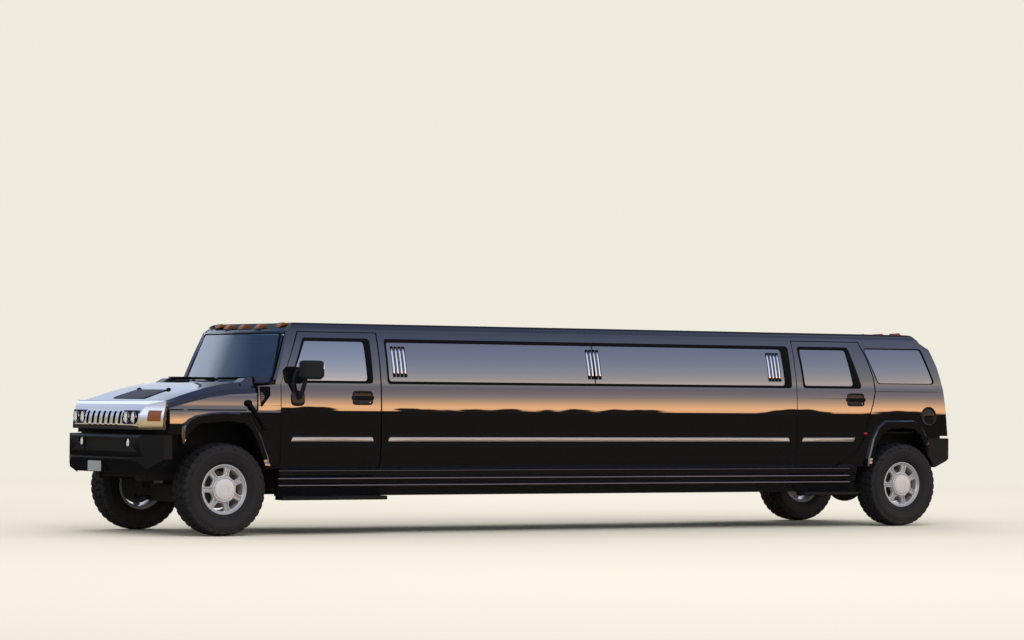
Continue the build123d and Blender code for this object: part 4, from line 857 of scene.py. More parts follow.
handlePlaces = {"front": (1.512, 1.327), "rear": (7.573, 1.349)}
handleShape = {"width": 0.228, "height": 0.14, "grip": 0.1085, "lift": 0.0155, "lockAft": 0.078, "lockDrop": 0.044,
               "bezel": [(0, -0.003), (0, 0.004), (0.003, 0.008), (0.01, 0.009), (0.014, 0.007), (0.017, 0.002),
                         (0.04, 0.0005)]}
fillerShape = {"place": (8.563, 1.177), "size": 0.208, "knob": (8.518, 8.608), "lift": 0.01,
               "cap": [(0, -0.003), (0, 0.003), (0.004, 0.009), (0.014, 0.01), (0.02, 0.007), (0.024, 0.0005),
                       (0.04, 0.0015), (0.062, 0.005), (0.08, 0.006)]}
markerShape = {"place": (7.7, 0.99), "width": 0.046, "height": 0.024,
               "lens": [(0, -0.002), (0, 0.004), (0.003, 0.007), (0.008, 0.008)]}


def gripForm(start, end, z, lift, side, profile, count):
    # a straight grip that stands off the body side at one height
    return runTrim(sidePoint(np.linspace(start, end, count), z + np.zeros(count), lift, side), (0, 0, 1),
                   (0, side, 0), profile)


for hand, side in hands:
    onSide = partial(sidePoint, side=side)
    for stripName, (start, end, bodyPattern) in stripRuns.items():
        addPiece(f"rubStrip_{stripName}_{hand}", stripForm(start, end, side), "silverStrip",
                 bodyPattern.format(hand), 50)
    for row, (aft, z) in handlePlaces.items():
        bodyName = f"door_{row}_{hand}"
        bezel = plaqueForm(onSide, aft, z, handleShape["width"], handleShape["height"], handleShape["bezel"], 6.0)
        addPiece(f"handleBezel_{row}_{hand}", bezel, "glossBlackTrim", bodyName, 50)
        lock = (onSide, aft + handleShape["lockAft"], z - handleShape["lockDrop"])
        grip = gripForm(aft - handleShape["grip"], aft + handleShape["grip"], z, handleShape["lift"], side,
                        ovalProfile(0.038, 0.026, 16, 3.0), 9)
        collar = plaqueForm(*lock, 0.018, 0.018, [(0, 0.0), (0, 0.005), (0.002, 0.0065)], 2.0, 20)
        addPiece(f"handleGrip_{row}_{hand}", mergeForms([grip, collar]), "louvreBlack", bodyName, 50)
        barrel = plaqueForm(*lock, 0.013, 0.013, [(0, 0.006), (0.001, 0.0085), (0.003, 0.009)], 2.0, 20)
        addPiece(f"lockBarrel_{row}_{hand}", barrel, "plainChrome", bodyName)
    if side == 1:
        size = fillerShape["size"]
        cap = plaqueForm(onSide, *fillerShape["place"], size, size, fillerShape["cap"], 2.0, 64)
        addPiece("fillerCap", cap, "glossBlackTrim", "body", 40)
        knob = gripForm(*fillerShape["knob"], fillerShape["place"][1], fillerShape["lift"], side,
                        ovalProfile(0.022, 0.018, 14, 2.6), 7)
        addPiece("fillerKnob", knob, "blackRubber", "body", 50)
    marker = plaqueForm(onSide, *markerShape["place"], markerShape["width"], markerShape["height"],
                        markerShape["lens"], 3.0, 28)
    addPiece(f"sideMarker_{hand}", marker, "redLens", "body", 50)

# ---- outer mirrors: shell, post and brace, foot plate; their glass comes with the rear end ----

mirrorShape = {"low": (0.956, 1.085, 1.5), "high": (0.735, 1.225, 1.683), "radius": 0.034,
               "post": [(0.795, 1.012, 1.315), (0.8, 1.05, 1.36), (0.806, 1.082, 1.43), (0.815, 1.108, 1.53)],
               "brace": [(0.745, 1.0, 1.375), (0.722, 1.02, 1.45), (0.716, 1.048, 1.52), (0.73, 1.075, 1.58),
                         (0.765, 1.105, 1.61)]}


def mirrorForms(side):
    unit, place, middle, _, faces = roundedBlock(
        (frontAxle - mirrorShape["low"][0], *mirrorShape["low"][1:]),
        (frontAxle - mirrorShape["high"][0], *mirrorShape["high"][1:]), mirrorShape["radius"], (14, 14, 14))
    # the front face falls back towards the outer end and the foot of the shell narrows
    ahead = (unit[:, 0] + 1) / 2
    place[:, 0] -= ahead * 0.03 * (unit[:, 1] + 1) / 2
    place[:, 1] -= 0.01 * (1 - unit[:, 2]) / 2 * unit[:, 1]
    forms = [(place + middle, faces)]
    for name, width in (("post", 0.046), ("brace", 0.03)):
        knots = np.array(mirrorShape[name])
        t = np.linspace(0, len(knots) - 1, 22)
        path = np.stack([np.interp(t, range(len(knots)), knots[:, k]) for k in range(3)], -1)
        path[1:-1] = (path[:-2] + 2 * path[1:-1] + path[2:]) / 4
        path[:, 0] = frontAxle - path[:, 0]
        forms.append(runTrim(path, (1, 0, 0), (0, 0.8, -0.6), ovalProfile(width, 0.03, 16, 2.4)))
    return flipped(mergeForms(forms), side)


for hand, side in hands:
    bodyName = f"door_front_{hand}"
    shell = addPiece(f"mirrorShell_{hand}", mirrorForms(side), "mirrorShell", bodyName, 50)
    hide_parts(f"mirror_{hand}")
    foot = plaqueForm(partial(sidePoint, side=side), 0.79, 1.318, 0.15, 0.15,
                      [(0, -0.003), (0, 0.006), (0.003, 0.012), (0.01, 0.014), (0.03, 0.014)], 3.2, 44)
    addPiece(f"mirrorFoot_{hand}", foot, "glossBlackTrim", bodyName, 50)

# ---- belt seam across the rear quarter, moulded rocker lines ----

beltSeam = {"start": 7.852, "end": 8.7, "height": 1.44}
rockerRun = (0.59, 7.5)
rockerLines = {  # height, half height, how far it stands off the sill
    "upper": (0.618, 0.006, 0.005), "band": (0.541, 0.011, 0.0042), "lower": (0.475, 0.012, 0.005),
}
sillHalf = 0.985
for hand, side in hands:
    aft = np.linspace(beltSeam["start"], beltSeam["end"], 8)
    seam = runTrim(sidePoint(aft, beltSeam["height"] + 0 * aft, 0.0, side), (0, 0, 1), (0, side, 0),
                   [(-0.003, -0.004), (0.003, -0.004), (0.002, 0.0014), (-0.002, 0.0014)])
    addPiece(f"beltSeam_{hand}", seam, "blackRubber", "body")
    for lineName, (z, halfHeight, stand) in rockerLines.items():
        aft = np.linspace(*rockerRun, 30)
        path = np.stack([frontAxle - aft, side * sillHalf + 0 * aft, z + 0 * aft], -1)
        # rounded ridge: stand (1 - |u|^2.5)
        ridge = [(halfHeight * u, stand * (1 - abs(u) ** 2.5)) for u in np.linspace(-1, 1, 11)]
        ridge += [(halfHeight, -0.003), (-halfHeight, -0.003)]
        form = runTrim(path, (0, 0, 1), (0, side, 0), ridge)
        addPiece(f"rockerRidge_{lineName}_{hand}", form, "glossBlackPaint", "body", 50)
print("side trim built")

# ---- front end: lamps, slot feet, mesh, louvre, latches, wipers, plate ----

bonnetLine = np.array([(-0.59, 1.284), (-0.366, 1.358), (-0.154, 1.42), (0.06, 1.462), (0.35, 1.486)])


def turnedAlongX(profile, centre, steps=48):
    # (radius, x) profile turned about a line along the car
    profile = np.asarray(profile, float)
    turn = np.linspace(0, 2 * np.pi, steps, endpoint=False)[:, None]
    points = np.stack([centre[0] + profile[None, :, 1] + 0 * turn,
                       centre[1] + profile[None, :, 0] * np.cos(turn),
                       centre[2] + profile[None, :, 0] * np.sin(turn)], -1)
    return points.reshape(-1, 3), gridFaces(steps, len(profile), True, True)


lampShape = {"places": (0.474, 0.628), "height": 1.126, "radius": 0.058, "face": 0.782, "depth": 0.044,
             "opening": (0.398, 0.704), "half": 0.066}
fogShape = {"place": 0.504, "height": 0.886, "radius": 0.046, "face": 0.77, "depth": 0.022}


def bowlProfile(radius, depth):
    # reflector: r = R sqrt(share of depth), closed by a thin outer skin and a rolled rim
    share = np.linspace(0, 1, 12) ** 2
    inside = [(radius * math.sqrt(k) * 0.94, -depth * (1 - k)) for k in share]
    rim = [(radius * 0.96, 0.004), (radius * 1.0, 0.005), (radius * 1.03, 0.001)]
    outside = [(radius * 0.98 * math.sqrt(k) + 0.002, -depth * (1 - k) - 0.003) for k in share[::-1]]
    return inside + rim + outside


def fillForm(lowY, highY, back, front, count=25):
    # an upright web between two curved edges: half the opening tall, edges given over the height
    dz = np.linspace(-lampShape["half"], lampShape["half"], count)
    low, high = lowY(dz), highY(dz)
    x = frontAxle + np.array([front, front, back, back])
    rows = np.stack([low, high, high, low], -1)
    return cappedRings(np.stack([np.broadcast_to(x, rows.shape), rows,
                                 lampShape["height"] + np.repeat(dz[:, None], 4, 1)], -1))


def circleEdge(centre, way, radius=0.0615):
    return lambda dz: centre + way * np.sqrt(np.clip(radius ** 2 - dz ** 2, 1e-6, None))


lampBowls, lampLenses, lampWebs, lampBulbs = [], [], [], []
ahead = (1, 0, 0)
for side in (1, -1):
    inner, outer = lampShape["places"]
    low, high = lampShape["opening"]
    x, height = frontAxle + lampShape["face"], lampShape["height"]
    for y in (inner, outer):
        bowl = bowlProfile(lampShape["radius"], lampShape["depth"])
        lampBowls.append(turnedAlongX(bowl, (x, side * y, height)))
        lampLenses.append(domeForm((x + 0.0015, side * y, height), ahead, 0.0545, 0.009, 40, 9))
        lampBulbs.append(domeForm((x - 0.038, side * y, height), ahead, 0.012, 0.022, 20, 6))
    webs = [fillForm(circleEdge(inner, 1), circleEdge(outer, -1), 0.735, 0.781),
            fillForm(lambda dz: low + 0.003 + 0 * dz, circleEdge(inner, -1), 0.735, 0.772),
            fillForm(circleEdge(outer, 1), lambda dz: high - 0.003 + 0 * dz, 0.735, 0.772)]
    lampWebs += [flipped(web, side) for web in webs]
    x, y, height = frontAxle + fogShape["face"], side * fogShape["place"], fogShape["height"]
    lampBowls.append(turnedAlongX(bowlProfile(fogShape["radius"], fogShape["depth"]), (x, y, height)))
    lampLenses.append(domeForm((x + 0.0015, y, height), ahead, 0.043, 0.008, 40, 9))
bowls = addPiece("lampBowls", mergeForms(lampBowls), "plainChrome", "body")
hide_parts("headlamps")
addPiece("lampLenses", mergeForms(lampLenses), "clearLens", "body", 40)
addPiece("lampBulbs", mergeForms(lampBulbs), "bulbGlass", "body", 40)
addPiece("lampWebs", mergeForms(lampWebs), "glossBlackTrim", "body", 30)

slotRow = {"bumps": 6, "pitch": 0.116, "bumpHeight": 1.056, "bumpRadius": 0.019, "face": 0.798}
places = [(k - (slotRow["bumps"] - 1) / 2) * slotRow["pitch"] for k in range(slotRow["bumps"])]
bumps = [domeForm((frontAxle + slotRow["face"], y, slotRow["bumpHeight"]), (1, 0, -0.15), slotRow["bumpRadius"],
                  0.011, 28, 7) for y in places]
addPiece("slotFeet", mergeForms(bumps), "plainChrome", "body", 50)


def honeyForm(width, foot, top, x, cell=0.017, bar=0.0026):
    # hexagon rings on a staggered grid: a row every 1.5 cells, each ring a closed band of flat bars
    across = cell * math.sqrt(3)
    columns, rows = int(width / across), int((top - foot) / (1.5 * cell))
    corner = np.radians(np.arange(6) * 60 + 30)
    forms = []
    for j in range(rows):
        for i in range(columns):
            y = -width / 2 + across * (i + 0.5 + 0.5 * (j % 2))
            z = foot + cell + 1.5 * cell * j
            rings = [np.stack([np.full(6, depth), y + radius * np.cos(corner), z + radius * np.sin(corner)], -1)
                     for radius, depth in ((cell, x), (cell - bar, x), (cell - bar, x - 0.006), (cell, x - 0.006))]
            forms.append((np.concatenate(rings), gridFaces(4, 6, True, True).tolist()))
    return mergeForms(forms)


addPiece("grilleMesh", honeyForm(0.76, 1.05, 1.196, frontAxle + 0.762), "blackRubber", "body", tidy=False)

louvreShape = {"front": -0.532, "rear": -0.27, "half": 0.345, "slats": 8, "slatHalf": 0.306, "border": 0.025,
               "rearShare": 0.94,
               "frame": [(0, -0.004), (0, 0.004), (0.004, 0.008), (0.014, 0.008), (0.018, 0.001)],
               "slat": [(-0.011, 0.0005), (0.009, 0.0095), (0.012, 0.0085), (0.01, 0.0005)]}
catchPlace = (-0.255, 0.315)
hoodFall = {"depth": 0.01, "start": 0.57, "width": 0.29}


def hoodTop(aft, y=0.0):
    # the flat top falls away towards the crease on each side
    drop = hoodFall["depth"] * np.clip((np.abs(y) - hoodFall["start"]) / hoodFall["width"], 0, 1)
    return np.interp(aft, bonnetLine[:, 0], bonnetLine[:, 1]) - drop


def onHood(aft, y, lift=0.0):
    aft, y, lift = np.broadcast_arrays(aft, y, lift)
    return np.stack([frontAxle - aft, y, hoodTop(aft, y) + lift], -1)


def louvreForm():
    # a raised frame on the hood with slats across it; each slat rises rearwards
    shape = louvreShape
    middle, half = (shape["front"] + shape["rear"]) / 2, (shape["rear"] - shape["front"]) / 2
    rear = shape["half"] * shape["rearShare"]
    corners = np.array([(-half, shape["half"]), (half, rear), (half, -rear), (-half, -shape["half"])])
    rings = []
    for inset, lift in shape["frame"]:
        loop = roundedOutline(corners * (1 - inset / half, 1 - inset / shape["half"]), 0.03, 7)
        rings.append(onHood(middle + loop[:, 0], loop[:, 1], lift))
    forms = [cappedRings(rings)]
    pitch = (2 * half - 2 * shape["border"]) / shape["slats"]
    y = np.linspace(-shape["slatHalf"], shape["slatHalf"], 8)
    for k in range(shape["slats"]):
        aft = shape["front"] + shape["border"] + (k + 0.5) * pitch
        forms.append(cappedRings(np.stack([onHood(aft + da, y, lift) for da, lift in shape["slat"]], 1)))
    return mergeForms(forms)


addPiece("hoodLouvre", louvreForm(), "louvreBlack", "hood", 40)
aft, reach = catchPlace
catches = [domeForm((frontAxle - aft, y, hoodTop(aft, y) - 0.004), (0, 0, 1), 0.026, 0.024, 24, 7)
           for y in (reach, -reach)]
addPiece("hoodCatches", mergeForms(catches), "blackRubber", "hood", 50)

ventCorners = [(0.372, 1.429), (0.488, 1.43), (0.489, 1.344), (0.384, 1.219)]


def ventForm(side):
    corners = np.array(ventCorners)
    middle = corners.mean(0)
    rings = []
    for share, lift in ((1.0, -0.004), (1.0, 0.003), (0.97, 0.0055), (0.88, 0.0055), (0.85, 0.0005)):
        loop = roundedOutline(middle + (corners - middle) * share, 0.014 * share, 6)
        rings.append(sidePoint(loop[:, 0], loop[:, 1], lift, side))
    forms = [cappedRings(rings)]
    front, _, hip, foot = ventCorners
    for z in np.linspace(1.262, 1.412, 9):
        low = np.interp(z, (foot[1], front[1]), (foot[0], front[0]))
        high = np.interp(z, (foot[1], hip[1]), (foot[0], hip[0]))
        aft = np.linspace(low + 0.01, high - 0.01, 4)
        # slats droop forwards like shingles
        forms.append(runTrim(sidePoint(aft, z + 0 * aft, 0.0, side), (0, 0, 1), (0, side, 0),
                             [(-0.006, 0.0005), (-0.004, 0.0048), (0.004, 0.0022), (0.005, 0.0005)]))
    return mergeForms(forms)


latchRun = {"top": (0.252, 1.268), "foot": (0.425, 1.043), "half": 1.0, "lift": 0.012, "bow": 0.01}


def latchForm(side):
    # a rubber strap with a round knob at its upper end and a hook block at its foot
    t = np.linspace(0, 1, 14)
    top, foot = np.array(latchRun["top"]), np.array(latchRun["foot"])
    line = top + (foot - top) * t[:, None]
    along = (foot - top) / np.linalg.norm(foot - top)
    across = np.array([along[1], 0.0, along[0]])
    lift = latchRun["lift"] + latchRun["bow"] * np.sin(np.pi * t)
    path = np.stack([frontAxle - line[:, 0], side * (latchRun["half"] + lift), line[:, 1]], -1)
    strap = runTrim(path, across, (0, side, 0), ovalProfile(0.036, 0.018, 14, 2.8))
    onSide = partial(sidePoint, side=side)
    knob = plaqueForm(onSide, *top, 0.062, 0.062, [(0, -0.006), (0, 0.018), (0.004, 0.024), (0.012, 0.026),
                                                   (0.02, 0.022)], 2.0, 32)
    block = plaqueForm(onSide, *foot, 0.052, 0.066, [(0, -0.006), (0, 0.014), (0.004, 0.019), (0.014, 0.02)], 3.0, 32)
    return mergeForms([strap, knob, block])


for hand, side in hands:
    addPiece(f"sideVent_{hand}", ventForm(side), "blackRubber", "body", 40)
    addPiece(f"hoodLatch_{hand}", latchForm(side), "blackRubber", "hood", 50)

screenShape = {"foot": 0.566, "footHeight": 1.482, "run": 0.176, "rise": 0.484, "bow": 0.09, "half": 0.945}
screenOut = np.array([0.9398, 0.0, 0.3417])


def onScreen(y, t, lift=0.0):
    # the bowed windshield: aft = foot + run t - bow (1 - (y / half)^2)
    y, t, lift = np.broadcast_arrays(y, t, lift)
    shape = screenShape
    aft = shape["foot"] + shape["run"] * t - shape["bow"] * (1 - (y / shape["half"]) ** 2)
    points = np.stack([frontAxle - aft, y, shape["footHeight"] + shape["rise"] * t], -1)
    return points + lift[..., None] * screenOut


def wiperForm(pivot, tip, heel):
    # blade from heel to tip just above the foot of the glass, arm from the pivot to its middle
    y = np.linspace(heel, tip, 24)
    blade = runTrim(onScreen(y, 0.05 + 0.01 * np.abs(y), 0.014), (0, 0, 1), screenOut,
                    ovalProfile(0.016, 0.016, 10, 2.4))
    t = np.linspace(0, 1, 14)
    armY = pivot + ((heel + tip) / 2 - pivot) * t
    armLift = 0.012 + 0.02 * np.sin(np.pi * t) + 0.006 * t
    arm = runTrim(onScreen(armY, 0.012 + 0.04 * t, armLift), (0, 0, 1), screenOut,
                  ovalProfile(0.014, 0.01, 10, 2.4))
    hub = domeForm(onScreen(pivot, 0.01, 0.0), (0, 0, 1), 0.02, 0.022, 20, 6)
    return mergeForms([blade, arm, hub])


addPiece("wipers", mergeForms([wiperForm(0.62, -0.04, 0.58), wiperForm(-0.1, -0.76, -0.14)]),
         "blackRubber", "body", 50)


def screenGasket():
    # a flat band round the glass, following its bow
    corners = np.array([(-0.915, 0.03), (-0.8, 0.975), (0.8, 0.975), (0.915, 0.03)])
    middle, longEdge, rings = corners.mean(0), 0.3, []
    for share, lift in ((1.0, 0.0), (1.0, 0.0045), (0.985, 0.0055), (0.965, 0.0035), (0.962, 0.0)):
        loop = roundedOutline(middle + (corners - middle) * (share, 1 - (1 - share) * 1.6), 0.04, 6)
        steps = []
        for k in range(len(loop)):
            start, end = loop[k], loop[(k + 1) % len(loop)]
            pieces = 14 if np.linalg.norm(end - start) > longEdge else 1
            steps.append(start + (end - start) * np.linspace(0, 1, pieces, endpoint=False)[:, None])
        loop = np.concatenate(steps)
        rings.append(onScreen(loop[:, 0], loop[:, 1], lift))
    points = np.stack(rings)
    return points.reshape(-1, 3), gridFaces(len(rings), points.shape[1], True, True)


addPiece("screenGasket", screenGasket(), "blackRubber", "body", 40)

plateShape = {"width": 0.292, "height": 0.1, "rim": 0.012,
              "plate": [(0, -0.001), (0, 0.002), (0.003, 0.0035), (0.006, 0.0025), (0.01, 0.0025)],
              "frame": [(0, -0.002), (0, 0.001), (0.004, 0.0012), (0.006, -0.0015)]}
plates = {"front": (0.8005, -0.171, 0.651, 1), "rear": (-8.9165, 0.0, 0.85, -1)}


def plateForm(x, y, z, way, width, height, profile):
    # an upright plate across the car, facing along x by way, its rings given by (inset, lift)
    rings = []
    corners = np.array([(-width / 2, -height / 2), (-width / 2, height / 2), (width / 2, height / 2),
                        (width / 2, -height / 2)])
    for inset, lift in profile:
        loop = roundedOutline(corners * (1 - 2 * inset / width, 1 - 2 * inset / height), 0.012, 5)
        rings.append(np.stack([np.full(len(loop), frontAxle + x + way * lift), y + loop[:, 0], z + loop[:, 1]], -1))
    return cappedRings(rings)


for end, place in plates.items():
    width, height, rim = plateShape["width"], plateShape["height"], plateShape["rim"]
    addPiece(f"plate_{end}", plateForm(*place, width, height, plateShape["plate"]), "blankPlate", "body", 40)
    addPiece(f"plateFrame_{end}", plateForm(*place, width + rim, height + rim, plateShape["frame"]), "blackRubber",
             "body", 40)
print("front end built")

# ---- tailgate, mirror glass, rear fillers ----

def onTail(y, z, lift=0.0):
    # a point on the tailgate's curve, lifted rearwards
    y, z, lift = np.broadcast_arrays(y, z, lift)
    return np.stack([frontAxle - (tailCurve(z) + lift), y, z], -1)


handle = plaqueForm(onTail, 0.0, 1.13, 0.34, 0.07, [(0, -0.002), (0, 0.01), (0.004, 0.018), (0.012, 0.02)])
addPiece("tailgateHandle", handle, "glossBlackTrim", "tailgate", 50)
bar = plaqueForm(onTail, 0.0, 1.215, 0.62, 0.05, [(0, -0.002), (0, 0.006), (0.004, 0.011), (0.012, 0.012)], 6.0)
addPiece("tailgateBadgeBar", bar, "plainChrome", "tailgate", 50)
bladeRun, armRun = np.linspace(0, 1, 14), np.linspace(0, 1, 8)
rearBlade = runTrim(onTail(-0.02 + 0.44 * bladeRun, 1.52 + 0.05 * bladeRun, 0.012), (0, 0, 1), (-1, 0, 0),
                    ovalProfile(0.016, 0.014, 10, 2.4))
rearHub = plaqueForm(onTail, 0.0, 1.478, 0.06, 0.06, [(0, -0.002), (0, 0.012), (0.006, 0.02), (0.016, 0.022)],
                     2.0, 28)
rearArm = runTrim(onTail(0.2 * armRun, 1.48 + 0.06 * armRun, 0.016 + 0.01 * np.sin(np.pi * armRun)), (0, 0, 1),
                  (-1, 0, 0), ovalProfile(0.014, 0.01, 10, 2.4))
addPiece("rearWiper", mergeForms([rearBlade, rearHub, rearArm]), "blackRubber", "tailgate", 50)
for hand, side in hands:
    glass = plateForm(-0.9555, side * 1.155, 1.597, -1, 0.118, 0.148, [(0, -0.002), (0, 0.0008), (0.002, 0.0015)])
    addPiece(f"mirrorGlass_{hand}", glass, "mirrorSilver", f"door_front_{hand}", 40)
for hand, side in hands:
    # a dark filler between the quarter panel's foot and the bumper
    _, place, middle, _, faces = roundedBlock((frontAxle - 8.745, 0.8, 0.93), (frontAxle - 8.56, 0.975, 0.968),
                                              0.008, (4, 4, 3))
    addPiece(f"rearFiller_{hand}", flipped((place + middle, faces), side), "grainedPlastic", "body")
print("rear end built")

# ---- seats: crowned cushions with sewn channels in place of the plain blocks ----

cabinFloor = 0.706


def cushionForm(aft, y, z, radius, crown=0.0, seams=(), axis=0, cells=(18, 18, 8), tilt=0.0, channel=0.01):
    # a rounded block between the (low, high) pairs aft, y and z, its top and front swollen by
    # crown (1 - u^2)(1 - v^2) and pinched along the seams by channel exp(-(d / 0.016)^2)
    unit, place, middle, half, faces = roundedBlock((frontAxle - aft[1], y[0], z[0]), (frontAxle - aft[0], y[1], z[1]),
                                                    radius, cells)
    swell = crown * (1 - unit[:, 0] ** 2) * (1 - unit[:, 1] ** 2)
    place[:, 2] += np.where(unit[:, 2] > 0, swell * unit[:, 2], 0)
    other = 1 - axis
    bulge = 0.6 * crown * (1 - unit[:, axis] ** 2) * (1 - unit[:, 2] ** 2)
    atEnd = np.abs(unit[:, other]) > 0.99
    place[:, other] += np.sign(unit[:, other]) * np.where(atEnd, bulge, 0)
    for seam in seams:
        pinch = channel * np.exp(-((place[:, axis] + middle[axis] - seam) / 0.016) ** 2)
        place[:, 2] -= np.where(unit[:, 2] > 0.5, pinch, 0)
        place[:, other] -= np.sign(unit[:, other]) * np.where(atEnd, 0.6 * pinch, 0)
    place[:, 0] -= tilt * (place[:, 2] + half[2])
    return place + middle, faces


def evenSeams(start, end, count):
    return np.linspace(start, end, count + 1)[1:-1]


def addCushion(name, forms):
    piece = addPiece(name, mergeForms(forms), "seatLeather", "body", 60)
    return piece


frontSeat = {"middle": 0.42, "base": (1.125, 1.6), "back": (1.5, 1.64), "top": 1.64, "bolster": 0.215,
             "seams": 0.15, "legs": (1.16, 1.58), "rod": 0.006}
seatForms, frameForms = [], []
for side in (1, -1):
    y = side * frontSeat["middle"]
    seams = evenSeams(y - frontSeat["seams"], y + frontSeat["seams"], 3)
    seatForms.append(cushionForm(frontSeat["base"], (y - 0.24, y + 0.24), (0.905, 1.075), 0.045, 0.022, seams, 1,
                                 (20, 40, 8)))
    for edge in (-1, 1):
        across = y + edge * frontSeat["bolster"]
        seatForms.append(cushionForm(frontSeat["base"], (across - 0.042, across + 0.042), (0.9, 1.095), 0.038, 0.006,
                                     cells=(20, 8, 8)))
    seatForms.append(cushionForm(frontSeat["back"], (y - 0.225, y + 0.225), (1.08, frontSeat["top"]), 0.05, 0.0,
                                 seams, 1, (10, 40, 24), 0.16, 0.012))
    seatForms.append(cushionForm((1.652, 1.742), (y - 0.135, y + 0.135), (1.655, 1.818), 0.04, 0.006,
                                 cells=(8, 18, 12)))
    for edge in (-0.17, 0.17):
        across = y + edge
        frameForms.append(cushionForm(frontSeat["legs"], (across - 0.022, across + 0.022), (cabinFloor, 0.915), 0.008,
                                      cells=(6, 3, 6)))
    for edge in (-0.07, 0.07):
        # the two rods of the headrest
        turn = np.linspace(0, 2 * np.pi, 10, endpoint=False)
        x, across = frontSeat["rod"] * np.cos(turn), y + edge + frontSeat["rod"] * np.sin(turn)
        frameForms.append(cappedRings([np.stack([frontAxle - (1.7 + 0.01 * k) + x, across,
                                                 np.full(10, 1.61 + 0.03 * k)], -1) for k in range(3)]))
front = addCushion("frontSeats", seatForms)
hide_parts("seats")
addPiece("seatFrames", mergeForms(frameForms), "dashPlastic", "body", 40)

couchRun = (2.205, 6.64)
couchSeams = frontAxle - evenSeams(*couchRun, 9)
addCushion("longCouch", [
    cushionForm(couchRun, (-0.678, -0.332), (0.925, 1.082), 0.045, 0.016, couchSeams, 0, (220, 14, 8), 0.0, 0.02),
    cushionForm(couchRun, (-0.828, -0.656), (1.06, 1.468), 0.045, 0.01, couchSeams, 0, (220, 8, 14), 0.0, 0.02),
])
benchSeams = evenSeams(-0.64, 0.64, 4)
addCushion("rearBench", [
    cushionForm((7.765, 8.19), (-0.655, 0.655), (0.925, 1.082), 0.045, 0.016, benchSeams, 1, (16, 120, 8), 0.0,
                0.018),
    cushionForm((8.185, 8.328), (-0.655, 0.655), (1.06, 1.598), 0.045, 0.008, benchSeams, 1, (8, 120, 20), 0.0,
                0.018),
])
addPiece("seatBases", mergeForms([
    cushionForm((2.215, 6.63), (-0.82, -0.37), (cabinFloor, 0.93), 0.01, cells=(40, 4, 4)),
    cushionForm((7.8, 8.18), (-0.645, 0.645), (cabinFloor, 0.93), 0.01, cells=(4, 20, 4)),
]), "dashPlastic", "body", 40)
print("seats built")

# ---- stage: floor, reflected sky tent, lamps, camera ----

backgroundColour = (0.868, 0.828, 0.735, 1)
stageSizes = {"floorReach": 26.0, "floorPlain": 7.0, "floorSteps": 96, "tentRadius": 70.0, "tentSteps": 96,
              "tentRows": 60, "tentFoot": -4, "tentHeight": 1.2, "glossDarkGroundDepth": 0.004}


def stageMaterial(name):
    material = bpy.data.materials.new(name)
    material.use_nodes = True
    material.node_tree.nodes.clear()
    return material, material.node_tree


def stagePiece(name, points, faces, material, onlyInGloss=True):
    mesh = bpy.data.meshes.new(name)
    mesh.from_pydata(points.reshape(-1, 3).tolist(), [], faces)
    mesh.materials.append(material)
    piece = bpy.data.objects.new(name, mesh)
    bpy.context.scene.collection.objects.link(piece)
    if onlyInGloss:
        piece.visible_camera = piece.visible_diffuse = piece.visible_transmission = False
        piece.visible_volume_scatter = piece.visible_shadow = False
    else:
        piece.visible_glossy = False
    return piece


def makeFloor():
    # a pale disc that keeps the shadow and fades into the background towards its rim
    rings = np.array([0, 4, 8, 14, 20, stageSizes["floorReach"]])[:, None]
    turn = np.linspace(0, 2 * np.pi, stageSizes["floorSteps"], endpoint=False)
    points = np.stack([rings * np.cos(turn), rings * np.sin(turn), 0 * rings + 0 * turn], -1)
    material, tree = stageMaterial("paleFloor")
    length = addNode(tree, "VectorMath", {0: addNode(tree, "TexCoord").outputs["Object"]}, operation="LENGTH")
    fade = addNode(tree, "MapRange", {"From Min": stageSizes["floorPlain"], "From Max": stageSizes["floorReach"] - 2,
                                      "Value": length.outputs["Value"]}, interpolation_type="SMOOTHSTEP")
    plain = addNode(tree, "BsdfDiffuse", {"Color": (0.86, 0.82, 0.725, 1)})
    clear = addNode(tree, "BsdfTransparent")
    mix = addNode(tree, "MixShader", {"Fac": fade.outputs["Result"], 1: plain.outputs[0], 2: clear.outputs[0]})
    addNode(tree, "OutputMaterial", {"Surface": mix.outputs[0]})
    stagePiece("studioFloor", points, gridFaces(len(rings), len(turn), False, True).tolist(), material, False)


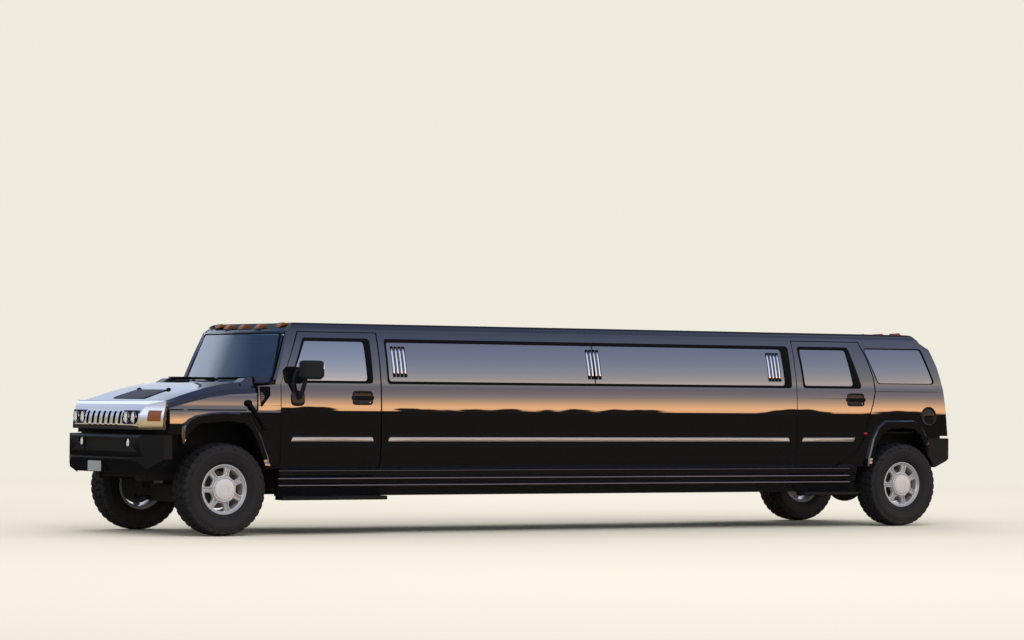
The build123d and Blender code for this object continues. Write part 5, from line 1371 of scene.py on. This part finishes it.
# what the gloss sees, by elevation in degrees: dark ground, a low warm band, soft light, a deeper top
darkGround = [(-4, (0.02, 0.017, 0.017)), (0.45, (0.03, 0.024, 0.022))]
tentTop = [(60, (0.18, 0.23, 0.43)), (90, (0.3, 0.35, 0.5))]
tentLight = {
    "warmSide": darkGround + [
        (0.8, (5.5, 2.95, 1.45)), (1.6, (6.1, 3.25, 1.58)), (2.6, (4.6, 2.6, 1.42)), (3.76, (2.8, 1.86, 1.27)),
        (4.7, (1.7, 1.3, 1.15)), (5.8, (1.2, 1.02, 1.13)), (7.0, (0.92, 0.83, 0.98)), (9, (0.95, 0.92, 1.08)),
        (10.5, (1.2, 1.15, 1.3)), (11.8, (1.75, 1.5, 1.4)), (13.7, (1.3, 1.18, 1.18)), (17.2, (0.97, 0.98, 1.2)),
        (20.1, (0.8, 0.88, 1.15)), (25.6, (0.62, 0.69, 1.03)), (30, (0.54, 0.62, 0.94)), (33.6, (0.4, 0.48, 0.77)),
        (45, (0.24, 0.3, 0.54))] + tentTop,
    "coolSide": darkGround + [
        (0.8, (0.62, 0.46, 0.24)), (2.2, (0.62, 0.5, 0.3)), (3.4, (0.66, 0.64, 0.62)), (5, (0.96, 1.0, 1.12)),
        (10, (0.86, 0.95, 1.15)), (15, (0.98, 1.14, 1.46)), (18.5, (0.84, 0.94, 1.18)), (21, (0.68, 0.76, 0.96)),
        (26, (0.52, 0.6, 0.76)), (35, (0.19, 0.27, 0.5)), (44, (0.09, 0.13, 0.29))] + tentTop,
    "blueCorner": darkGround + [
        (0.8, (0.52, 0.42, 0.24)), (2.5, (0.5, 0.43, 0.3)), (6, (0.42, 0.41, 0.38)), (10, (0.5, 0.53, 0.6)),
        (14, (0.6, 0.68, 0.86)), (17, (0.34, 0.46, 0.7)), (21, (0.07, 0.15, 0.34)), (28, (0.1, 0.2, 0.44)),
        (40, (0.42, 0.5, 0.66)), (52, (0.36, 0.42, 0.56))] + tentTop,
    "whiteNose": darkGround + [
        (0.8, (0.55, 0.4, 0.2)), (3, (0.6, 0.45, 0.24)), (5.5, (0.5, 0.44, 0.36)), (9, (0.62, 0.66, 0.8)),
        (16, (0.95, 1.05, 1.25)), (34, (1.0, 1.1, 1.3)), (46, (0.25, 0.32, 0.5))] + tentTop,
}
tentPeak = 6.1


def glowNode(tree, colour, strength=1.0):
    glow = addNode(tree, "Emission", {"Strength": strength, "Color": colour})
    addNode(tree, "OutputMaterial", {"Surface": glow.outputs[0]})


def rangeNode(tree, value, low, high):
    # 0 at low and below, 1 at high and beyond, a straight ramp between
    return addNode(tree, "MapRange", {"From Min": low, "From Max": high, "Value": value}).outputs["Result"]


def blendNode(tree, share, first, second):
    return addNode(tree, "Mix", {"Factor": share, "A": first, "B": second}, data_type="RGBA").outputs["Result"]


def tentRamp(tree, root, name):
    # stops at the square root of the height's share, which gives the low bands the room they need
    ramp = addNode(tree, "ValToRGB", {"Fac": root})
    stops = ramp.color_ramp.elements
    low = stageSizes["tentFoot"]
    table = [(((degrees - low) / (90 - low)) ** 0.5, (*[c / tentPeak for c in colour], 1))
             for degrees, colour in tentLight[name]]
    stops[1].position, stops[1].color = table[-1]
    stops[0].position, stops[0].color = table[0]
    for position, colour in table[1:-1]:
        stops.new(position).color = colour
    return ramp.outputs["Color"]


# bearings in degrees where each zone of the tent starts and is full; each zone is the product of its ramps
tentZones = {"whiteNose": ((62, 50), (-160, -150)), "blueCorner": ((-28, -38),),
             "coolSide": ((-66, -73), (-170, -150))}
hillSpec = {"Scale": 22.0, "Detail": 3.0, "low": 0.42, "high": 0.66, "rise": 1.1, "start": 0.5, "full": 0.75}


def makeTent():
    # a dome round the car that only reflections see
    radius, foot = stageSizes["tentRadius"], stageSizes["tentFoot"]
    elevation = np.radians(np.linspace(foot, 90, stageSizes["tentRows"]))
    turn = np.linspace(0, 2 * np.pi, stageSizes["tentSteps"], endpoint=False)[:, None]
    points = radius * np.stack([np.cos(elevation) * np.cos(turn), np.cos(elevation) * np.sin(turn),
                                np.sin(elevation) + 0 * turn], -1)
    material, tree = stageMaterial("tentCloth")
    split = addNode(tree, "SeparateXYZ", {0: addNode(tree, "TexCoord").outputs["Object"]}).outputs
    angle = mathNode(tree, "ARCSINE", mathNode(tree, "DIVIDE", split["Z"], radius), 0.0)
    root = mathNode(tree, "POWER", rangeNode(tree, angle, math.radians(foot), math.radians(90)), 0.5)
    bearing = mathNode(tree, "ARCTAN2", split["Y"], split["X"])
    blended = tentRamp(tree, root, "warmSide")
    for name, ramps in tentZones.items():
        shares = [rangeNode(tree, bearing, math.radians(start), math.radians(full)) for start, full in ramps]
        share = shares[0] if len(shares) == 1 else mathNode(tree, "MULTIPLY", *shares)
        blended = blendNode(tree, share, blended, tentRamp(tree, root, name))
    # low hills break up the horizon
    hills = addNode(tree, "TexNoise", {"Scale": hillSpec["Scale"], "Detail": hillSpec["Detail"], "W": bearing},
                    noise_dimensions="1D").outputs["Fac"]
    ridge = mathNode(tree, "MULTIPLY", rangeNode(tree, hills, hillSpec["low"], hillSpec["high"]),
                     math.radians(hillSpec["rise"]))
    above = rangeNode(tree, mathNode(tree, "SUBTRACT", angle, ridge), math.radians(hillSpec["start"]),
                      math.radians(hillSpec["full"]))
    hillColour = (*[c / tentPeak for c in darkGround[1][1]], 1)
    glowNode(tree, blendNode(tree, above, hillColour, blended), tentPeak)
    faces = gridFaces(*points.shape[:2], True, False).tolist()
    tent = stagePiece("skyTent", points, faces, material)
    tent.data.shade_smooth()
    tent.location.z = stageSizes["tentHeight"]
    # and under it a dark sheet that only reflections see: a painted dark reflection of the ground in the lower panels,
    # in place of the pale floor
    depth = 0 * turn - stageSizes["glossDarkGroundDepth"] / radius
    material, tree = stageMaterial("glossDarkGroundGlow")
    glowNode(tree, (0.03, 0.026, 0.026, 1))
    stagePiece("glossDarkGround", radius * np.stack([np.cos(turn), np.sin(turn), depth], -1), [list(range(len(turn)))],
               material)


def makeWorld():
    # soft even light; the camera, gloss and glass see the pale background itself
    world = bpy.data.worlds.new("paleStudio")
    bpy.context.scene.world = world
    world.use_nodes = True
    tree = world.node_tree
    tree.nodes.clear()
    light = addNode(tree, "Background", {"Color": (0.98, 0.97, 0.95, 1), "Strength": 0.86})
    seen = addNode(tree, "Background", {"Color": backgroundColour, "Strength": 1.0})
    rays = addNode(tree, "LightPath").outputs
    either = mathNode(tree, "MAXIMUM", rays["Is Camera Ray"], rays["Is Glossy Ray"])
    either = mathNode(tree, "MAXIMUM", either, rays["Is Transmission Ray"])
    mix = addNode(tree, "MixShader", {"Fac": either, 1: light.outputs[0], 2: seen.outputs[0]})
    addNode(tree, "OutputWorld", {"Surface": mix.outputs[0]})


lamps = {
    "keyLamp": {"place": (7.0, 15.0, 14.0), "aim": (0, 0, 0.6), "size": (12, 7), "watts": 900},
    "fillLamp": {"place": (-9.0, -14.0, 13.0), "aim": (0, 0, 0.6), "size": (12, 7), "watts": 600},
}


def makeLamps():
    for name, spec in lamps.items():
        data = bpy.data.lights.new(name, "AREA")
        data.shape = "RECTANGLE"
        data.size, data.size_y = spec["size"]
        data.energy = spec["watts"]
        lamp = bpy.data.objects.new(name, data)
        place = Vector(spec["place"])
        lamp.location = place
        lamp.rotation_euler = (Vector(spec["aim"]) - place).to_track_quat("-Z", "Y").to_euler()
        lamp.visible_glossy = False
        bpy.context.scene.collection.objects.link(lamp)


cameraSpec = {"yaw": 32.39, "pitch": 1.25, "roll": 0.48, "lens": 125.4, "sensor": 36, "reach": 400,
              "place": (15.89, 31.13, 1.34)}  # place is measured from the front axle


def makeCamera():
    yaw, pitch, roll = (math.radians(cameraSpec[key]) for key in ("yaw", "pitch", "roll"))
    forward = Vector((-math.sin(yaw) * math.cos(pitch), -math.cos(yaw) * math.cos(pitch), math.sin(pitch)))
    right = Vector((-math.cos(yaw), math.sin(yaw), 0))
    up = right.cross(forward)
    turnedRight = math.cos(roll) * right + math.sin(roll) * up
    turnedUp = -math.sin(roll) * right + math.cos(roll) * up
    data = bpy.data.cameras.new("studioCamera")
    data.lens = cameraSpec["lens"]
    data.sensor_width = cameraSpec["sensor"]
    data.clip_end = cameraSpec["reach"]
    camera = bpy.data.objects.new("studioCamera", data)
    turn = Matrix([[turnedRight[k], turnedUp[k], -forward[k]] for k in range(3)]).to_4x4()
    x, y, z = cameraSpec["place"]
    camera.matrix_world = Matrix.Translation((frontAxle + x, y, z)) @ turn
    bpy.context.scene.collection.objects.link(camera)
    bpy.context.scene.camera = camera


makeFloor()
makeTent()
makeWorld()
makeLamps()
makeCamera()
bpy.context.scene.view_settings.view_transform = "Standard"
print("stage set")
